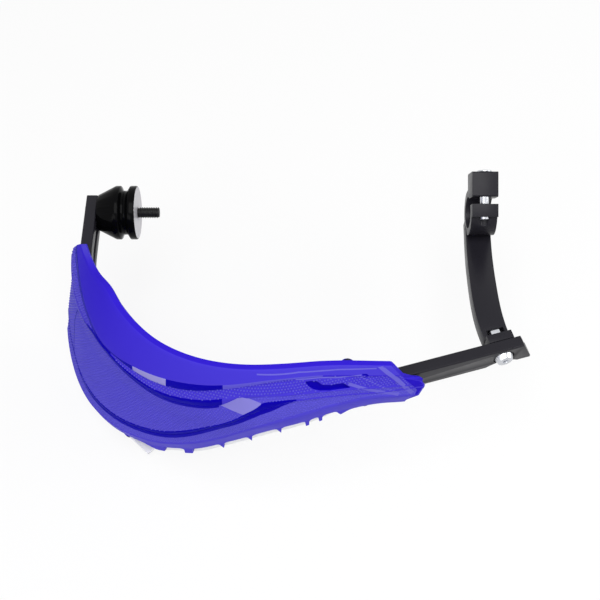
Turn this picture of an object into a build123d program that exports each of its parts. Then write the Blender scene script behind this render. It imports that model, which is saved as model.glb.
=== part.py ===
from build123d import *
import math
import os

# Motorcycle hand guard, millimetres.
# X runs along the handlebar towards the middle of the motorcycle, Y points back to the rider, Z points up.
# The origin is the centre of the flat face that meets the handlebar's open end.

# Handlebar and its two fixings
handlebar_diameter = 22.2
clamp_x = 243.0
clamp_width = 18.0
clamp_wall = 4.8

# Aluminium bar: a straight left arm, one wide bend, a straight right arm
bar_thickness = 8.0
bar_height = 20.0
bar_edge_radius = 1.0
bar_groove_width = 6.0
bar_groove_depth = 2.5
bend_start_x = -31.5
bend_start_y = -31.3
bend_radius = 120.0
bend_lead = 7.8
left_heading = -90.0
right_heading = 15.9
left_arm_overhang = 8.0
right_arm_length = 150.5

# Bar end weight, its flange and the bolt that holds them
cone_small_radius = 12.6
cone_large_radius = 19.0
cone_rim_width = 3.2
neck_radius = 15.6
neck_width = 3.2
flange_rim_width = 4.7
flange_taper = 2.2
end_bolt_radius = 4.0
end_bolt_shank_radius = 3.4
end_bolt_reach = 15.2
end_bolt_head_radius = 6.8
end_bolt_head_height = 4.0
end_bolt_recess = 3.0

# Moulded shell
shell_wall = 3.0
shell_crown = 12.0
shell_crown_height = -8.0
shell_roof_curve = 0.008
shell_flare = 0.27
rim_width = 3.9
rim_fall = 0.2
skirt_drop = 7.5
vent_start = 120.0
vent_end = 230.0
finger_positions = (135.5, 157.0, 175.0, 193.0, 210.0, 218.5)
finger_width = 2.0
wide_finger_width = 5.0
slot_height = 14.0
slot_corner = 3.0

# Fixings of the shell and of the vent panel
saddle_positions = (112.0, 241.0)
saddle_length = 9.0
saddle_boss_radius = 5.2
saddle_screw_back = 9.5
saddle_top = 19.0
saddle_screw_radius = 2.5
saddle_head_radius = 4.5
saddle_head_height = 3.4
saddle_nut_across_flats = 8.0
saddle_nut_height = 4.0
strap_thickness = 4.0
strap_back = 15.0
strap_front = 0.2
panel_thickness = 1.6
panel_rise = 9.0
panel_drop = 12.5
panel_gap = 0.3
panel_start = 108.0
panel_end = 236.0
panel_screw_radius = 1.8
panel_head_radius = 4.6
panel_head_height = 3.2
panel_tab_radius = 3.6
panel_tab_thickness = 2.5
panel_strip_radius = 3.4
panel_strip_width = 3.4
panel_left_screw = 91.5
panel_left_drop = 5.0
panel_left_inset = 5.8
panel_right_screw = 251.0
panel_right_out = 0.6
panel_right_drop = 6.5

# Link arm between the bar and the handlebar clamp
arm_thickness = 10.0
arm_width = 17.6
arm_drop = 17.0
arm_bow = 4.6
foot_width = 17.0
foot_thickness = 5.6
pivot_from_end = 20.0
pivot_radius = 3.0
pivot_head_radius = 6.6
pivot_head_height = 4.2
nut_across_flats = 10.0
nut_height = 5.0
scallop_radius = 18.0
scallop_rise = 4.5

# Clamp screw and jaw, laid out in a plane that is turned to face the clamp's mouth
mouth_angle = 60.0
clamp_screw_radius = 3.0
clamp_screw_offset = 15.0
clamp_block_near = 9.5
clamp_block_far = 27.0
clamp_block_top = 19.0
clamp_gap = 5.0
clamp_ear_length = 9.0
clamp_lip_angle = 55.0
clamp_screw_head_radius = 5.2
clamp_screw_head_height = 1.0

os.makedirs("parts", exist_ok=True)


# Distances along the bar are counted from a point a little way into the bend.
def heading_at(s):
    """Direction of the bar in degrees at the distance s."""
    turned = math.degrees((s + bend_lead) / bend_radius)
    return min(max(left_heading + turned, left_heading), right_heading)


bend_end = math.radians(right_heading - left_heading) * bend_radius - bend_lead
bar_end = bend_end + right_arm_length
pivot_at = bar_end - pivot_from_end
bend_centre = (
    bend_start_x - bend_radius * math.sin(math.radians(left_heading)),
    bend_start_y + bend_radius * math.cos(math.radians(left_heading)),
)


def bar_point(s):
    """Plan position of the bar's centre line at the distance s."""
    angle = math.radians(heading_at(s))
    x = bend_centre[0] + bend_radius * math.sin(angle)
    y = bend_centre[1] - bend_radius * math.cos(angle)
    straight = min(s + bend_lead, 0.0) + max(s - bend_end, 0.0)
    return (x + straight * math.cos(angle), y + straight * math.sin(angle))


def station(s, out=0.0, up=0.0):
    """Upright plane across the bar: its x points outwards, its y points up."""
    angle = math.radians(heading_at(s))
    outward = (math.sin(angle), -math.cos(angle), 0)
    x, y = bar_point(s)
    origin = (x + out * outward[0], y + out * outward[1], up)
    return Plane(origin=origin, x_dir=outward, z_dir=(-math.cos(angle), -math.sin(angle), 0))


def face_plane(s, out=0.0):
    """Upright plane along the bar: its x runs along the bar, its y points up, its normal points outwards."""
    angle = math.radians(heading_at(s))
    outward = (math.sin(angle), -math.cos(angle), 0)
    x, y = bar_point(s)
    origin = (x + out * outward[0], y + out * outward[1], 0)
    return Plane(origin=origin, x_dir=(math.cos(angle), math.sin(angle), 0), z_dir=outward)


def level_plane(s, out, z):
    """Level plane at the height z, centred beside the bar, its x pointing outwards."""
    spot = station(s, out, z)
    return Plane(origin=spot.origin, x_dir=spot.x_dir, z_dir=(0, 0, 1))


def along(knots, s):
    """Smooth curve through a few (distance, value) knots."""
    if s <= knots[0][0]:
        return knots[0][1]
    if s >= knots[-1][0]:
        return knots[-1][1]
    slopes = []
    for i in range(len(knots)):
        before = knots[max(i - 1, 0)]
        after = knots[min(i + 1, len(knots) - 1)]
        slopes.append((after[1] - before[1]) / (after[0] - before[0]))
    for i in range(len(knots) - 1):
        (s0, v0), (s1, v1) = knots[i], knots[i + 1]
        if s <= s1:
            span = s1 - s0
            t = (s - s0) / span
            a = v0 * (1 + 2 * t) * (1 - t) ** 2 + slopes[i] * span * t * (1 - t) ** 2
            b = v1 * (3 - 2 * t) * t**2 - slopes[i + 1] * span * (1 - t) * t**2
            return a + b
    return knots[-1][1]


# Heights of the shell's crease lines, each as a curve through (distance along the bar, height)
rim_line = ((-6, 27), (21, 35), (37, 38.3), (55, 42.3), (73, 41.3), (111, 39.6), (183, 41), (209, 39.7), (234, 35.4),
            (264, 27.6), (296, 18.5))
roof_edge = ((-6, 25), (10, 26.5), (28, 25), (52, 18), (74, 13.2), (105, 19.9), (146, 28.4), (183, 34.9), (208, 34.5),
             (233, 29.7), (258, 22.6), (296, 11.5))
roof_step = ((-6, 0.8), (70, 0.8), (84, 1.8), (101, 4.9), (116, 6.4), (134, 6.4), (158, 4), (183, 2.4), (208, 0.9),
             (296, 0.6))
wing_crest = ((-6, 6), (31, 5), (50, 8), (62, 11.2), (76, 11.6), (99, 11), (121, 11.6), (147, 17.6), (172, 25.5),
              (183, 26), (208, 24), (231, 20), (256, 14), (296, 4))
wing_step = ((-6, 3), (50, 3.6), (76, 4.4), (99, 5), (121, 6), (147, 6.2), (159, 5.8), (172, 3), (190, 1), (296, 1))
wing_foot = ((-6, -42), (37, -53), (50, -57), (70, -55.4), (99, -44.4), (127, -29.6), (159, -1.6), (173, 11.2),
             (183, 20), (200, 20.6), (231, 15.5), (256, 9.5), (296, 2))
foot_step = ((-6, 4), (44, 6), (57, 6.2), (70, 5.2), (84, 4.4), (110, 4.8), (136, 6), (161, 4.4), (173, 4.4),
             (185, 6), (202, 1), (296, 1))
belly_line = ((-6, -56), (40, -70), (60, -71), (80, -65), (100, -57), (120, -47.8), (139, -36), (158, -20.6),
              (176, -3.9), (193, 5.4), (211, 9.1), (231, 9.5), (250, 8), (270, 1.4), (296, -10))
bottom_line = ((-6, -64), (41, -79), (64, -82.5), (80, -77.5), (98, -69.5), (115, -63.5), (128, -57), (143, -49.5),
               (165, -31), (184, -15), (199, -8), (225, -3.5), (241, -8), (258, -12.5), (278, -20.5), (296, -23))
skirt_line = ((-6, 0.8), (104, 0.8), (117, skirt_drop), (229, skirt_drop), (240, 0.8), (296, 0.8))

bottom_tuck = ((-6, 4.5), (150, 4.5), (185, 2.7), (226, 2.7), (245, 4.2), (296, 4.2))

# How far the edge above each ledge stands out of the smooth surface, and the edge below it stands in
roof_relief = ((-6, 0.2), (80, 0.3), (104, 0.7), (150, 0.7), (190, 0.5), (208, 0.2), (296, 0.0))
wing_relief = ((-6, 0.0), (46, 0.0), (62, 0.5), (99, 0.8), (157, 0.8), (172, 0.5), (190, 0.1), (296, 0.0))
foot_relief = ((-6, 0.5), (44, 0.7), (160, 0.8), (180, 0.7), (202, 0.1), (296, 0.0))


def shell_out(s, z):
    """Distance of the shell's smooth outer surface from the bar's centre line."""
    if z > shell_crown_height:
        return shell_crown - shell_roof_curve * (z - shell_crown_height) ** 2
    t = min(max((s - 85.0) / 120.0, 0.0), 1.0)
    flare = shell_flare * (1.0 - t * t * (3.0 - 2.0 * t))
    return shell_crown + flare * (shell_crown_height - z)


def height_on(outline, z):
    """Outward distance of a falling line of corner points at the height z."""
    for (r0, z0), (r1, z1) in zip(outline, outline[1:]):
        if z0 >= z >= z1 and z0 > z1:
            return r0 + (r1 - r0) * (z0 - z) / (z0 - z1)
    return outline[-1][0]


def shell_outline(s):
    """Corner points of the shell's cross-section at the distance s, outside first, then inside."""
    rim = along(rim_line, s)
    roof = along(roof_edge, s)
    ledge = roof - along(roof_step, s)
    crest = along(wing_crest, s)
    wing = crest - along(wing_step, s)
    foot = along(wing_foot, s)
    lower = foot - along(foot_step, s)
    belly = along(belly_line, s)
    bottom = along(bottom_line, s)
    skirt = bottom - along(skirt_line, s)
    tuck = shell_out(s, bottom) - along(bottom_tuck, s)
    rim_out = shell_out(s, rim)
    outside = [
        (rim_out - rim_width, rim - rim_fall),
        (rim_out, rim),
        (shell_out(s, roof) + along(roof_relief, s), roof),
        (shell_out(s, ledge) - along(roof_relief, s), ledge),
        (shell_out(s, crest) + along(wing_relief, s), crest),
        (shell_out(s, wing) - along(wing_relief, s), wing),
        (shell_out(s, foot) + along(foot_relief, s), foot),
        (shell_out(s, lower) - along(foot_relief, s), lower),
        (shell_out(s, belly) + 0.5, belly),
        (tuck, bottom),
        (tuck, skirt),
    ]
    low = max(-11.5, bottom + 5.0)
    high = min(12.0, rim - 7.0)
    inside = [
        (tuck - shell_wall + 0.4, skirt),
        (tuck - shell_wall, bottom + 3.0),
        (height_on(outside, low) - shell_wall - 0.3, low),
        (height_on(outside, high) - shell_wall - 0.5, high),
        (rim_out - rim_width + 0.2, rim - rim_fall - 3.4),
        (rim_out - rim_width - 0.6, rim - rim_fall - 1.6),
    ]
    return outside + inside


shell_start = -6.0
shell_end = 294.0
shell_station_count = 21
shell_spacing = (shell_end - shell_start) / (shell_station_count - 1)
shell_stations = [shell_start + i * shell_spacing for i in range(shell_station_count)]
finger_halves = [wide_finger_width / 2] + [finger_width / 2] * (len(finger_positions) - 1)
slot_starts = [vent_start] + [s + half for s, half in zip(finger_positions, finger_halves)]
slot_ends = [s - half for s, half in zip(finger_positions, finger_halves)] + [vent_end]

# The moulded shell: a skin through its cross-sections, trimmed at both ends
with BuildPart() as hand_shield:
    for s in shell_stations:
        with BuildSketch(station(s)):
            with BuildLine():
                Polyline(*shell_outline(s), close=True)
            make_face()
    loft()
    # Outer end, cut back above and below its foremost corner
    with BuildSketch(Plane.YZ.offset(-90)):
        with BuildLine():
            Polyline((-54, 46), (-40, 17), (-38, 0), (-50, -42), (-70, -90), (0, -90), (0, 46), close=True)
        make_face()
    extrude(amount=100, mode=Mode.SUBTRACT)
    # Inner end, a slanting cut that leaves a pointed nose in front of the bar
    with BuildSketch(face_plane(bend_end, -60)):
        with BuildLine():
            Polyline((263.5 - bend_end, 60), (263.5 - bend_end, 30.5), (274 - bend_end, 15), (284 - bend_end, 10),
                     (287.5 - bend_end, 5), (284 - bend_end, -4), (277 - bend_end, -15), (277 - bend_end, -60),
                     (320 - bend_end, -60), (320 - bend_end, 60), close=True)
        make_face()
    extrude(amount=120, mode=Mode.SUBTRACT)
    # Open slots in the lower skirt, which leave narrow fingers in front of the vent panel
    for start, end in zip(slot_starts, slot_ends):
        s = (start + end) / 2
        slope = math.atan2(along(bottom_line, s + 6) - along(bottom_line, s - 6), 12)
        drop = slot_height / 2 - 0.5
        spot = (drop * math.sin(slope), along(bottom_line, s) - drop * math.cos(slope))
        with BuildSketch(face_plane(s, 60)):
            with Locations(Location((spot[0], spot[1], 0), (0, 0, math.degrees(slope)))):
                RectangleRounded(end - start, slot_height, min(slot_corner, 0.45 * (end - start)))
        extrude(amount=-62, mode=Mode.SUBTRACT)
    # Saddles that sit on the bar's upper edge
    for s in saddle_positions:
        with BuildSketch(station(s).offset(-saddle_length / 2)):
            with BuildLine():
                Polyline((-saddle_screw_back, bar_height / 2), (6.2, bar_height / 2), (6.2, bar_height / 2 + 2),
                         (0.8, saddle_top), (-saddle_screw_back, saddle_top), close=True)
            make_face()
        extrude(amount=saddle_length)
        with BuildSketch(level_plane(s, -saddle_screw_back, 0.6 - bar_height / 2)):
            Circle(saddle_boss_radius)
        extrude(amount=saddle_top + bar_height / 2 - 0.6)
        with BuildSketch(level_plane(s, -saddle_screw_back, -20)):
            Circle(saddle_screw_radius + 0.2)
        extrude(amount=50, mode=Mode.SUBTRACT)
    # Boss for the vent panel's outer screw
    left_bottom = along(bottom_line, panel_left_screw)
    left_edge_out = shell_out(panel_left_screw, left_bottom) - along(bottom_tuck, panel_left_screw)
    left_boss_out = left_edge_out - panel_left_inset
    left_boss_low = left_bottom - panel_left_drop
    with BuildSketch(level_plane(panel_left_screw, left_boss_out, left_boss_low)):
        Circle(5.0)
    extrude(amount=14 + panel_left_drop)
    with BuildSketch(level_plane(panel_left_screw, left_boss_out, left_boss_low)):
        Circle(panel_screw_radius)
    extrude(amount=12, mode=Mode.SUBTRACT)
hand_shield.part.label = "hand_shield"


panel_edge = ((100, 15.0), (110, 15.0), (124, panel_drop), (212, panel_drop), (228, 9.0), (236, 6.5))


def panel_outline(s):
    """Cross-section of the vent panel, which lies against the inside of the shell's lower edge."""
    bottom = along(bottom_line, s)
    skirt = bottom - along(panel_edge, s)
    inner_wall = shell_outline(s)[11:14]
    top = min(bottom + panel_rise, inner_wall[2][1] - panel_gap)
    lower_out = inner_wall[1][0] - panel_gap
    upper_out = lower_out
    if top > inner_wall[1][1]:
        rise = (top - inner_wall[1][1]) / (inner_wall[2][1] - inner_wall[1][1])
        upper_out = lower_out + (inner_wall[2][0] - inner_wall[1][0]) * rise
    upper_out = min(upper_out, lower_out) - panel_gap
    clear_of_bar = bar_thickness / 2 + panel_gap / 2
    return [
        (upper_out, top),
        (lower_out, skirt),
        (max(lower_out - panel_thickness, clear_of_bar), skirt),
        (max(upper_out - panel_thickness, clear_of_bar), top),
    ]


# White vent panel with a screw tab at each end
with BuildPart() as vent_panel:
    count = 12
    for i in range(count):
        s = panel_start + (panel_end - panel_start) * i / (count - 1)
        with BuildSketch(station(s)):
            with BuildLine():
                Polyline(*panel_outline(s), close=True)
            make_face()
    loft()
    left_tab_top = left_boss_low
    left_reach = (panel_start - panel_left_screw) * (1 + left_boss_out / bend_radius) + 3.0
    with BuildSketch(level_plane(panel_left_screw, left_boss_out, left_tab_top - panel_tab_thickness)):
        Circle(panel_tab_radius)
        with Locations((0, left_reach / 2)):
            Rectangle(2 * panel_tab_radius, left_reach)
        with Locations((-panel_tab_radius, left_reach - 2.0)):
            Rectangle(2 * panel_tab_radius, 4.0)
    extrude(amount=panel_tab_thickness)
    right_tab_top = -bar_height / 2
    right_reach = panel_right_screw - panel_end + 4.0
    with BuildSketch(level_plane(panel_right_screw, panel_right_out, right_tab_top - panel_tab_thickness)):
        with Locations((panel_strip_radius - panel_strip_width / 2, -right_reach / 2)):
            Rectangle(panel_strip_width, right_reach)
        with Locations((panel_strip_radius, 2.0 - right_reach)):
            Rectangle(3.0, 4.0)
    extrude(amount=panel_tab_thickness)
    with BuildSketch(level_plane(panel_right_screw, panel_right_out, right_tab_top - panel_right_drop)):
        Circle(panel_strip_radius)
    extrude(amount=panel_right_drop)
    for s, out in ((panel_left_screw, left_boss_out), (panel_right_screw, panel_right_out)):
        with BuildSketch(level_plane(s, out, -95)):
            Circle(panel_screw_radius + 0.2)
        extrude(amount=85, mode=Mode.SUBTRACT)
vent_panel.part.label = "vent_panel"

def bar_section():
    """Draw the bar's cross-section in the sketch that is open: a flat bar with a groove on its inner face."""
    RectangleRounded(bar_thickness, bar_height, bar_edge_radius)
    with Locations((-bar_thickness / 2, 0)):
        Rectangle(2 * bar_groove_depth, bar_groove_width, mode=Mode.SUBTRACT)


# The bent aluminium bar: right arm, bend and left arm
with BuildPart() as guard_bar:
    with BuildSketch(station(bend_end)):
        bar_section()
    extrude(amount=-right_arm_length)
    with BuildSketch(station(bend_end)):
        bar_section()
    revolve(axis=Axis((bend_centre[0], bend_centre[1], 0), (0, 0, 1)), revolution_arc=left_heading - right_heading)
    with BuildSketch(station(-bend_lead)):
        bar_section()
    extrude(amount=left_arm_overhang - bend_start_y)
    # Bar end bolt hole with a recess for its head
    outer_face = bend_start_x - bar_thickness / 2
    with BuildSketch(Plane.YZ.offset(outer_face)):
        Circle(end_bolt_radius + 0.2)
    extrude(amount=bar_thickness, mode=Mode.SUBTRACT)
    with BuildSketch(Plane.YZ.offset(outer_face)):
        Circle(end_bolt_head_radius + 0.5)
    extrude(amount=end_bolt_recess, mode=Mode.SUBTRACT)
    # Pivot hole, its spot face, and the scallop that clears a wrench below it
    with BuildSketch(face_plane(pivot_at, -bar_thickness)):
        Circle(pivot_radius + 0.2)
    extrude(amount=2 * bar_thickness, mode=Mode.SUBTRACT)
    with BuildSketch(face_plane(pivot_at, bar_thickness / 2 - 1.0)):
        Circle(pivot_head_radius + 0.6)
    extrude(amount=2.0, mode=Mode.SUBTRACT)
    with BuildSketch(face_plane(pivot_at, -bar_thickness)):
        with Locations((0, -bar_height / 2 - scallop_radius + scallop_rise)):
            Circle(scallop_radius)
    extrude(amount=2 * bar_thickness, mode=Mode.SUBTRACT)
    # Slanting end
    with BuildSketch(face_plane(bar_end, -bar_thickness)):
        with BuildLine():
            Polyline((-7.5, bar_height / 2 + 0.1), (0.1, -bar_height / 2 + 2.5), (4, -bar_height / 2 + 2.5),
                     (4, bar_height / 2 + 0.1), close=True)
        make_face()
    extrude(amount=2 * bar_thickness, mode=Mode.SUBTRACT)
    # Tapped hole under the bar for the vent panel's inner screw
    with BuildSketch(level_plane(panel_right_screw, panel_right_out, -bar_height / 2 - 1)):
        Circle(panel_screw_radius)
    extrude(amount=10, mode=Mode.SUBTRACT)
guard_bar.part.label = "guard_bar"

# Straps under the bar that draw the shell's saddles down onto it
with BuildPart() as bar_straps:
    for s in saddle_positions:
        with BuildSketch(station(s).offset(-saddle_length / 2)):
            with BuildLine():
                Polyline((-strap_back, -bar_height / 2), (strap_front, -bar_height / 2),
                         (strap_front, -bar_height / 2 - strap_thickness + 1.5),
                         (strap_front - 1.5, -bar_height / 2 - strap_thickness),
                         (-strap_back, -bar_height / 2 - strap_thickness), close=True)
            make_face()
        extrude(amount=saddle_length)
        with BuildSketch(level_plane(s, -saddle_screw_back, -30)):
            Circle(saddle_screw_radius + 0.2)
        extrude(amount=40, mode=Mode.SUBTRACT)
bar_straps.part.label = "bar_straps"

# Screws through the saddles, heads on top
saddle_screw_low = -bar_height / 2 - strap_thickness - saddle_nut_height - 1.0
with BuildPart() as saddle_screws:
    for s in saddle_positions:
        with BuildSketch(level_plane(s, -saddle_screw_back, saddle_screw_low)):
            Circle(saddle_screw_radius)
        extrude(amount=saddle_top - saddle_screw_low)
        with BuildSketch(level_plane(s, -saddle_screw_back, saddle_top)):
            Circle(saddle_head_radius)
        extrude(amount=saddle_head_height, taper=18)
        with BuildSketch(level_plane(s, -saddle_screw_back, saddle_top + 1.2)):
            RegularPolygon(1.5, 6, major_radius=False)
        extrude(amount=saddle_head_height, mode=Mode.SUBTRACT)
saddle_screws.part.label = "saddle_screws"

with BuildPart() as saddle_nuts:
    for s in saddle_positions:
        spot = level_plane(s, -saddle_screw_back, -bar_height / 2 - strap_thickness - saddle_nut_height)
        with BuildSketch(spot):
            RegularPolygon(saddle_nut_across_flats / 2, 6, major_radius=False)
            Circle(saddle_screw_radius, mode=Mode.SUBTRACT)
        extrude(amount=saddle_nut_height)
saddle_nuts.part.label = "saddle_nuts"

# Screws of the vent panel, heads below
with BuildPart() as panel_screws:
    for s, out, seat, reach in (
        (panel_left_screw, left_boss_out, left_tab_top - panel_tab_thickness, 12.0),
        (panel_right_screw, panel_right_out, right_tab_top - panel_right_drop, 14.0),
    ):
        with BuildSketch(level_plane(s, out, seat)):
            Circle(panel_screw_radius)
        extrude(amount=reach)
        with BuildSketch(level_plane(s, out, seat)):
            Circle(panel_head_radius)
        extrude(amount=-panel_head_height, taper=18)
        with BuildSketch(level_plane(s, out, seat - panel_head_height)):
            RegularPolygon(1.5, 6, major_radius=False)
        extrude(amount=2.0, mode=Mode.SUBTRACT)
panel_screws.part.label = "panel_screws"

# Turned bar end: a cone against the bar and a flange against the handlebar
bar_inner = bend_start_x + bar_thickness / 2
flange_back = -flange_rim_width
neck_right = flange_back - flange_taper
neck_left = neck_right - neck_width
rim_right = neck_left - 1.5
rim_left = rim_right - cone_rim_width
neck_split = (neck_left + neck_right) / 2
with BuildPart() as end_cone:
    with BuildSketch(Plane.XY):
        with BuildLine():
            Polyline((bar_inner, end_bolt_radius), (bar_inner, cone_small_radius), (rim_left, cone_large_radius),
                     (rim_right, cone_large_radius), (neck_left, neck_radius), (neck_split, neck_radius),
                     (neck_split, end_bolt_radius), close=True)
        make_face()
    revolve(axis=Axis.X)
end_cone.part.label = "end_cone"

with BuildPart() as end_flange:
    with BuildSketch(Plane.XY):
        with BuildLine():
            Polyline((neck_split, end_bolt_radius), (neck_split, neck_radius), (neck_right, neck_radius),
                     (flange_back, cone_large_radius), (-0.6, cone_large_radius), (0, cone_large_radius - 0.6),
                     (0, end_bolt_radius), close=True)
        make_face()
    revolve(axis=Axis.X)
end_flange.part.label = "end_flange"

# Bolt through bar, cone and flange; its threaded end goes into the handlebar
bolt_seat = outer_face + end_bolt_recess
bolt_top = bolt_seat - end_bolt_head_height
with BuildPart() as end_bolt:
    with BuildSketch(Plane.XY):
        with BuildLine():
            Polyline((bolt_top, 0), (bolt_top, end_bolt_head_radius - 1), (bolt_top + 1, end_bolt_head_radius),
                     (bolt_seat, end_bolt_head_radius),
                     (bolt_seat, end_bolt_shank_radius), (0, end_bolt_shank_radius), (0, end_bolt_radius),
                     (end_bolt_reach - 0.8, end_bolt_radius), (end_bolt_reach, end_bolt_radius - 0.8),
                     (end_bolt_reach, 0), close=True)
        make_face()
    revolve(axis=Axis.X)
    with BuildSketch(Plane.YZ.offset(bolt_top)):
        RegularPolygon(2.5, 6, major_radius=False)
    extrude(amount=2.4, mode=Mode.SUBTRACT)
end_bolt.part.label = "end_bolt"

# Clamp plane: x points away from the clamp block across the mouth, y points out of the mouth
lean = math.radians(mouth_angle)
mouth_x = (0, -math.sin(lean), -math.cos(lean))
clamp_plane = Plane(origin=(clamp_x + clamp_width / 2, 0, 0), x_dir=mouth_x, z_dir=(-1, 0, 0))
bore_radius = handlebar_diameter / 2
ring_radius = bore_radius + clamp_wall
lip = math.radians(clamp_lip_angle)
lip_x = 40 * math.sin(lip)
lip_y = 40 * math.cos(lip)

# Link arm: a curved strip that carries the clamp's hook at one end and a foot at the other
with BuildPart() as link_arm:
    half = arm_thickness / 2
    foot = station(pivot_at, -bar_thickness / 2 - foot_thickness / 2).origin
    arm_side = ((4, -arm_drop), (0.24 * foot.Y, 1.5 - arm_drop), (0.574 * foot.Y, -0.3 * arm_drop),
                (0.813 * foot.Y, -0.03 * arm_drop), (foot.Y, 0))
    with BuildSketch(Plane.YZ.offset(clamp_x - 25)):
        with BuildLine():
            upper = Spline(*[(y, z + half) for y, z in arm_side])
            lower = Spline(*[(y, z - half) for y, z in arm_side])
            Line(upper @ 0, lower @ 0)
            Line(upper @ 1, lower @ 1)
        make_face()
    extrude(amount=50)
    sway = foot.X - clamp_x
    arm_plan = ((clamp_x, 6), (clamp_x + 0.24 * sway - 0.5 * arm_bow, 0.28 * foot.Y),
                (clamp_x + 0.6 * sway - arm_bow, 0.6 * foot.Y), (clamp_x + 0.86 * sway - 0.8 * arm_bow, 0.86 * foot.Y),
                (foot.X, foot.Y - 1.5))
    with BuildSketch(Plane.XY.offset(-40)):
        with BuildLine():
            near = Spline(*[(x - arm_width / 2, y) for x, y in arm_plan])
            far = Spline(*[(x + arm_width / 2, y) for x, y in arm_plan])
            Line(near @ 0, far @ 0)
            Line(near @ 1, far @ 1)
        make_face()
    extrude(amount=80, mode=Mode.INTERSECT)
    with BuildSketch(clamp_plane):
        Circle(ring_radius)
        with Locations((-(clamp_block_near + clamp_block_far) / 2, clamp_block_top / 2)):
            RectangleRounded(clamp_block_far - clamp_block_near, clamp_block_top, 1.2)
        with BuildLine():
            Polyline((-clamp_block_near, 40), (-clamp_block_near, 3), (0, 0), (lip_x, lip_y), (lip_x, 40), close=True)
        make_face(mode=Mode.SUBTRACT)
    extrude(amount=clamp_width)
    with BuildSketch(clamp_plane):
        Circle(bore_radius)
    extrude(amount=clamp_width, mode=Mode.SUBTRACT)
    # Foot against the bar, with the pivot hole and a slot that holds the nut
    with BuildSketch(face_plane(pivot_at, -bar_thickness / 2)):
        Rectangle(foot_width, bar_height)
    extrude(amount=-foot_thickness)
    with BuildSketch(face_plane(pivot_at, -bar_thickness / 2 - foot_thickness)):
        Rectangle(nut_across_flats * 1.18, 2 * bar_height)
    extrude(amount=-nut_height - 0.5, mode=Mode.SUBTRACT)
    with BuildSketch(face_plane(pivot_at, 0)):
        Circle(pivot_radius + 0.2)
    extrude(amount=-30, mode=Mode.SUBTRACT)
    # Clamp screw hole through the block
    with BuildSketch(Plane(origin=(clamp_x, 0, 0), x_dir=(1, 0, 0), z_dir=mouth_x).offset(-40)):
        with Locations((0, clamp_screw_offset)):
            Circle(clamp_screw_radius + 0.2)
    extrude(amount=40, mode=Mode.SUBTRACT)
link_arm.part.label = "link_arm"

# Jaw that closes the clamp's mouth over the handlebar
with BuildPart() as clamp_jaw:
    with BuildSketch(clamp_plane):
        Circle(ring_radius)
        with Locations((-clamp_block_near + clamp_gap + clamp_ear_length / 2, clamp_block_top / 2)):
            Rectangle(clamp_ear_length, clamp_block_top)
        Circle(bore_radius, mode=Mode.SUBTRACT)
        with BuildLine():
            Polyline((-clamp_block_near + clamp_gap, 40), (-clamp_block_near + clamp_gap, 3), (0, 0), (lip_x, lip_y),
                     (lip_x, 40), close=True)
        make_face(mode=Mode.INTERSECT)
    extrude(amount=clamp_width)
    with BuildSketch(Plane(origin=(clamp_x, 0, 0), x_dir=(1, 0, 0), z_dir=mouth_x).offset(-40)):
        with Locations((0, clamp_screw_offset)):
            Circle(clamp_screw_radius)
    extrude(amount=80, mode=Mode.SUBTRACT)
clamp_jaw.part.label = "clamp_jaw"

# Clamp screw: head on the block, threaded end in the jaw
with BuildPart() as clamp_screw:
    screw_plane = Plane(origin=(clamp_x, 0, 0), x_dir=(1, 0, 0), z_dir=mouth_x)
    with BuildSketch(screw_plane.offset(-clamp_block_far)):
        with Locations((0, clamp_screw_offset)):
            Circle(clamp_screw_radius)
    extrude(amount=clamp_block_far - clamp_block_near + clamp_gap + clamp_ear_length + 1.5)
    with BuildSketch(screw_plane.offset(-clamp_block_far)):
        with Locations((0, clamp_screw_offset)):
            Circle(clamp_screw_head_radius)
    extrude(amount=-clamp_screw_head_height, taper=20)
    with BuildSketch(screw_plane.offset(-clamp_block_far - clamp_screw_head_height)):
        with Locations((0, clamp_screw_offset)):
            RegularPolygon(2.0, 6, major_radius=False)
    extrude(amount=2.0, mode=Mode.SUBTRACT)
clamp_screw.part.label = "clamp_screw"

# Pivot bolt and nut that hold the bar to the link arm's foot
pivot_seat = bar_thickness / 2 - 1.0
nut_back = bar_thickness / 2 + foot_thickness + nut_height
with BuildPart() as pivot_bolt:
    with BuildSketch(face_plane(pivot_at, pivot_seat)):
        Circle(pivot_radius)
    extrude(amount=-(pivot_seat + nut_back + 1.5))
    with BuildSketch(face_plane(pivot_at, pivot_seat)):
        Circle(pivot_head_radius)
    extrude(amount=pivot_head_height, taper=22)
    with BuildSketch(face_plane(pivot_at, pivot_seat + pivot_head_height)):
        RegularPolygon(2.0, 6, major_radius=False)
    extrude(amount=-2.2, mode=Mode.SUBTRACT)
pivot_bolt.part.label = "pivot_bolt"

with BuildPart() as pivot_nut:
    with BuildSketch(face_plane(pivot_at, -nut_back)):
        RegularPolygon(nut_across_flats / 2, 6, major_radius=False)
        Circle(pivot_radius, mode=Mode.SUBTRACT)
    extrude(amount=nut_height)
pivot_nut.part.label = "pivot_nut"

for piece in (
    hand_shield, vent_panel, guard_bar, bar_straps, saddle_screws, saddle_nuts, panel_screws, end_cone, end_flange,
    end_bolt, link_arm, clamp_jaw, clamp_screw, pivot_bolt, pivot_nut,
):
    print(piece.part.label, round(piece.part.volume, 1), piece.part.is_valid, len(piece.part.solids()))
    export_step(piece.part, "parts/" + piece.part.label + ".step")
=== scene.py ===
# %% [markdown]
# # A motorcycle hand guard
# The guard is a blue moulded shell on a bent flat bar. One end of the bar bolts into the open end of the
# handlebar, the other end is held by a short arm that clamps round the handlebar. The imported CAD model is
# the frame: everything here is in metres, in the same axes, and sits where the CAD says.

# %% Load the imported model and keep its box
import math
import bmesh
import bpy
from mathutils import Matrix, Vector


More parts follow.
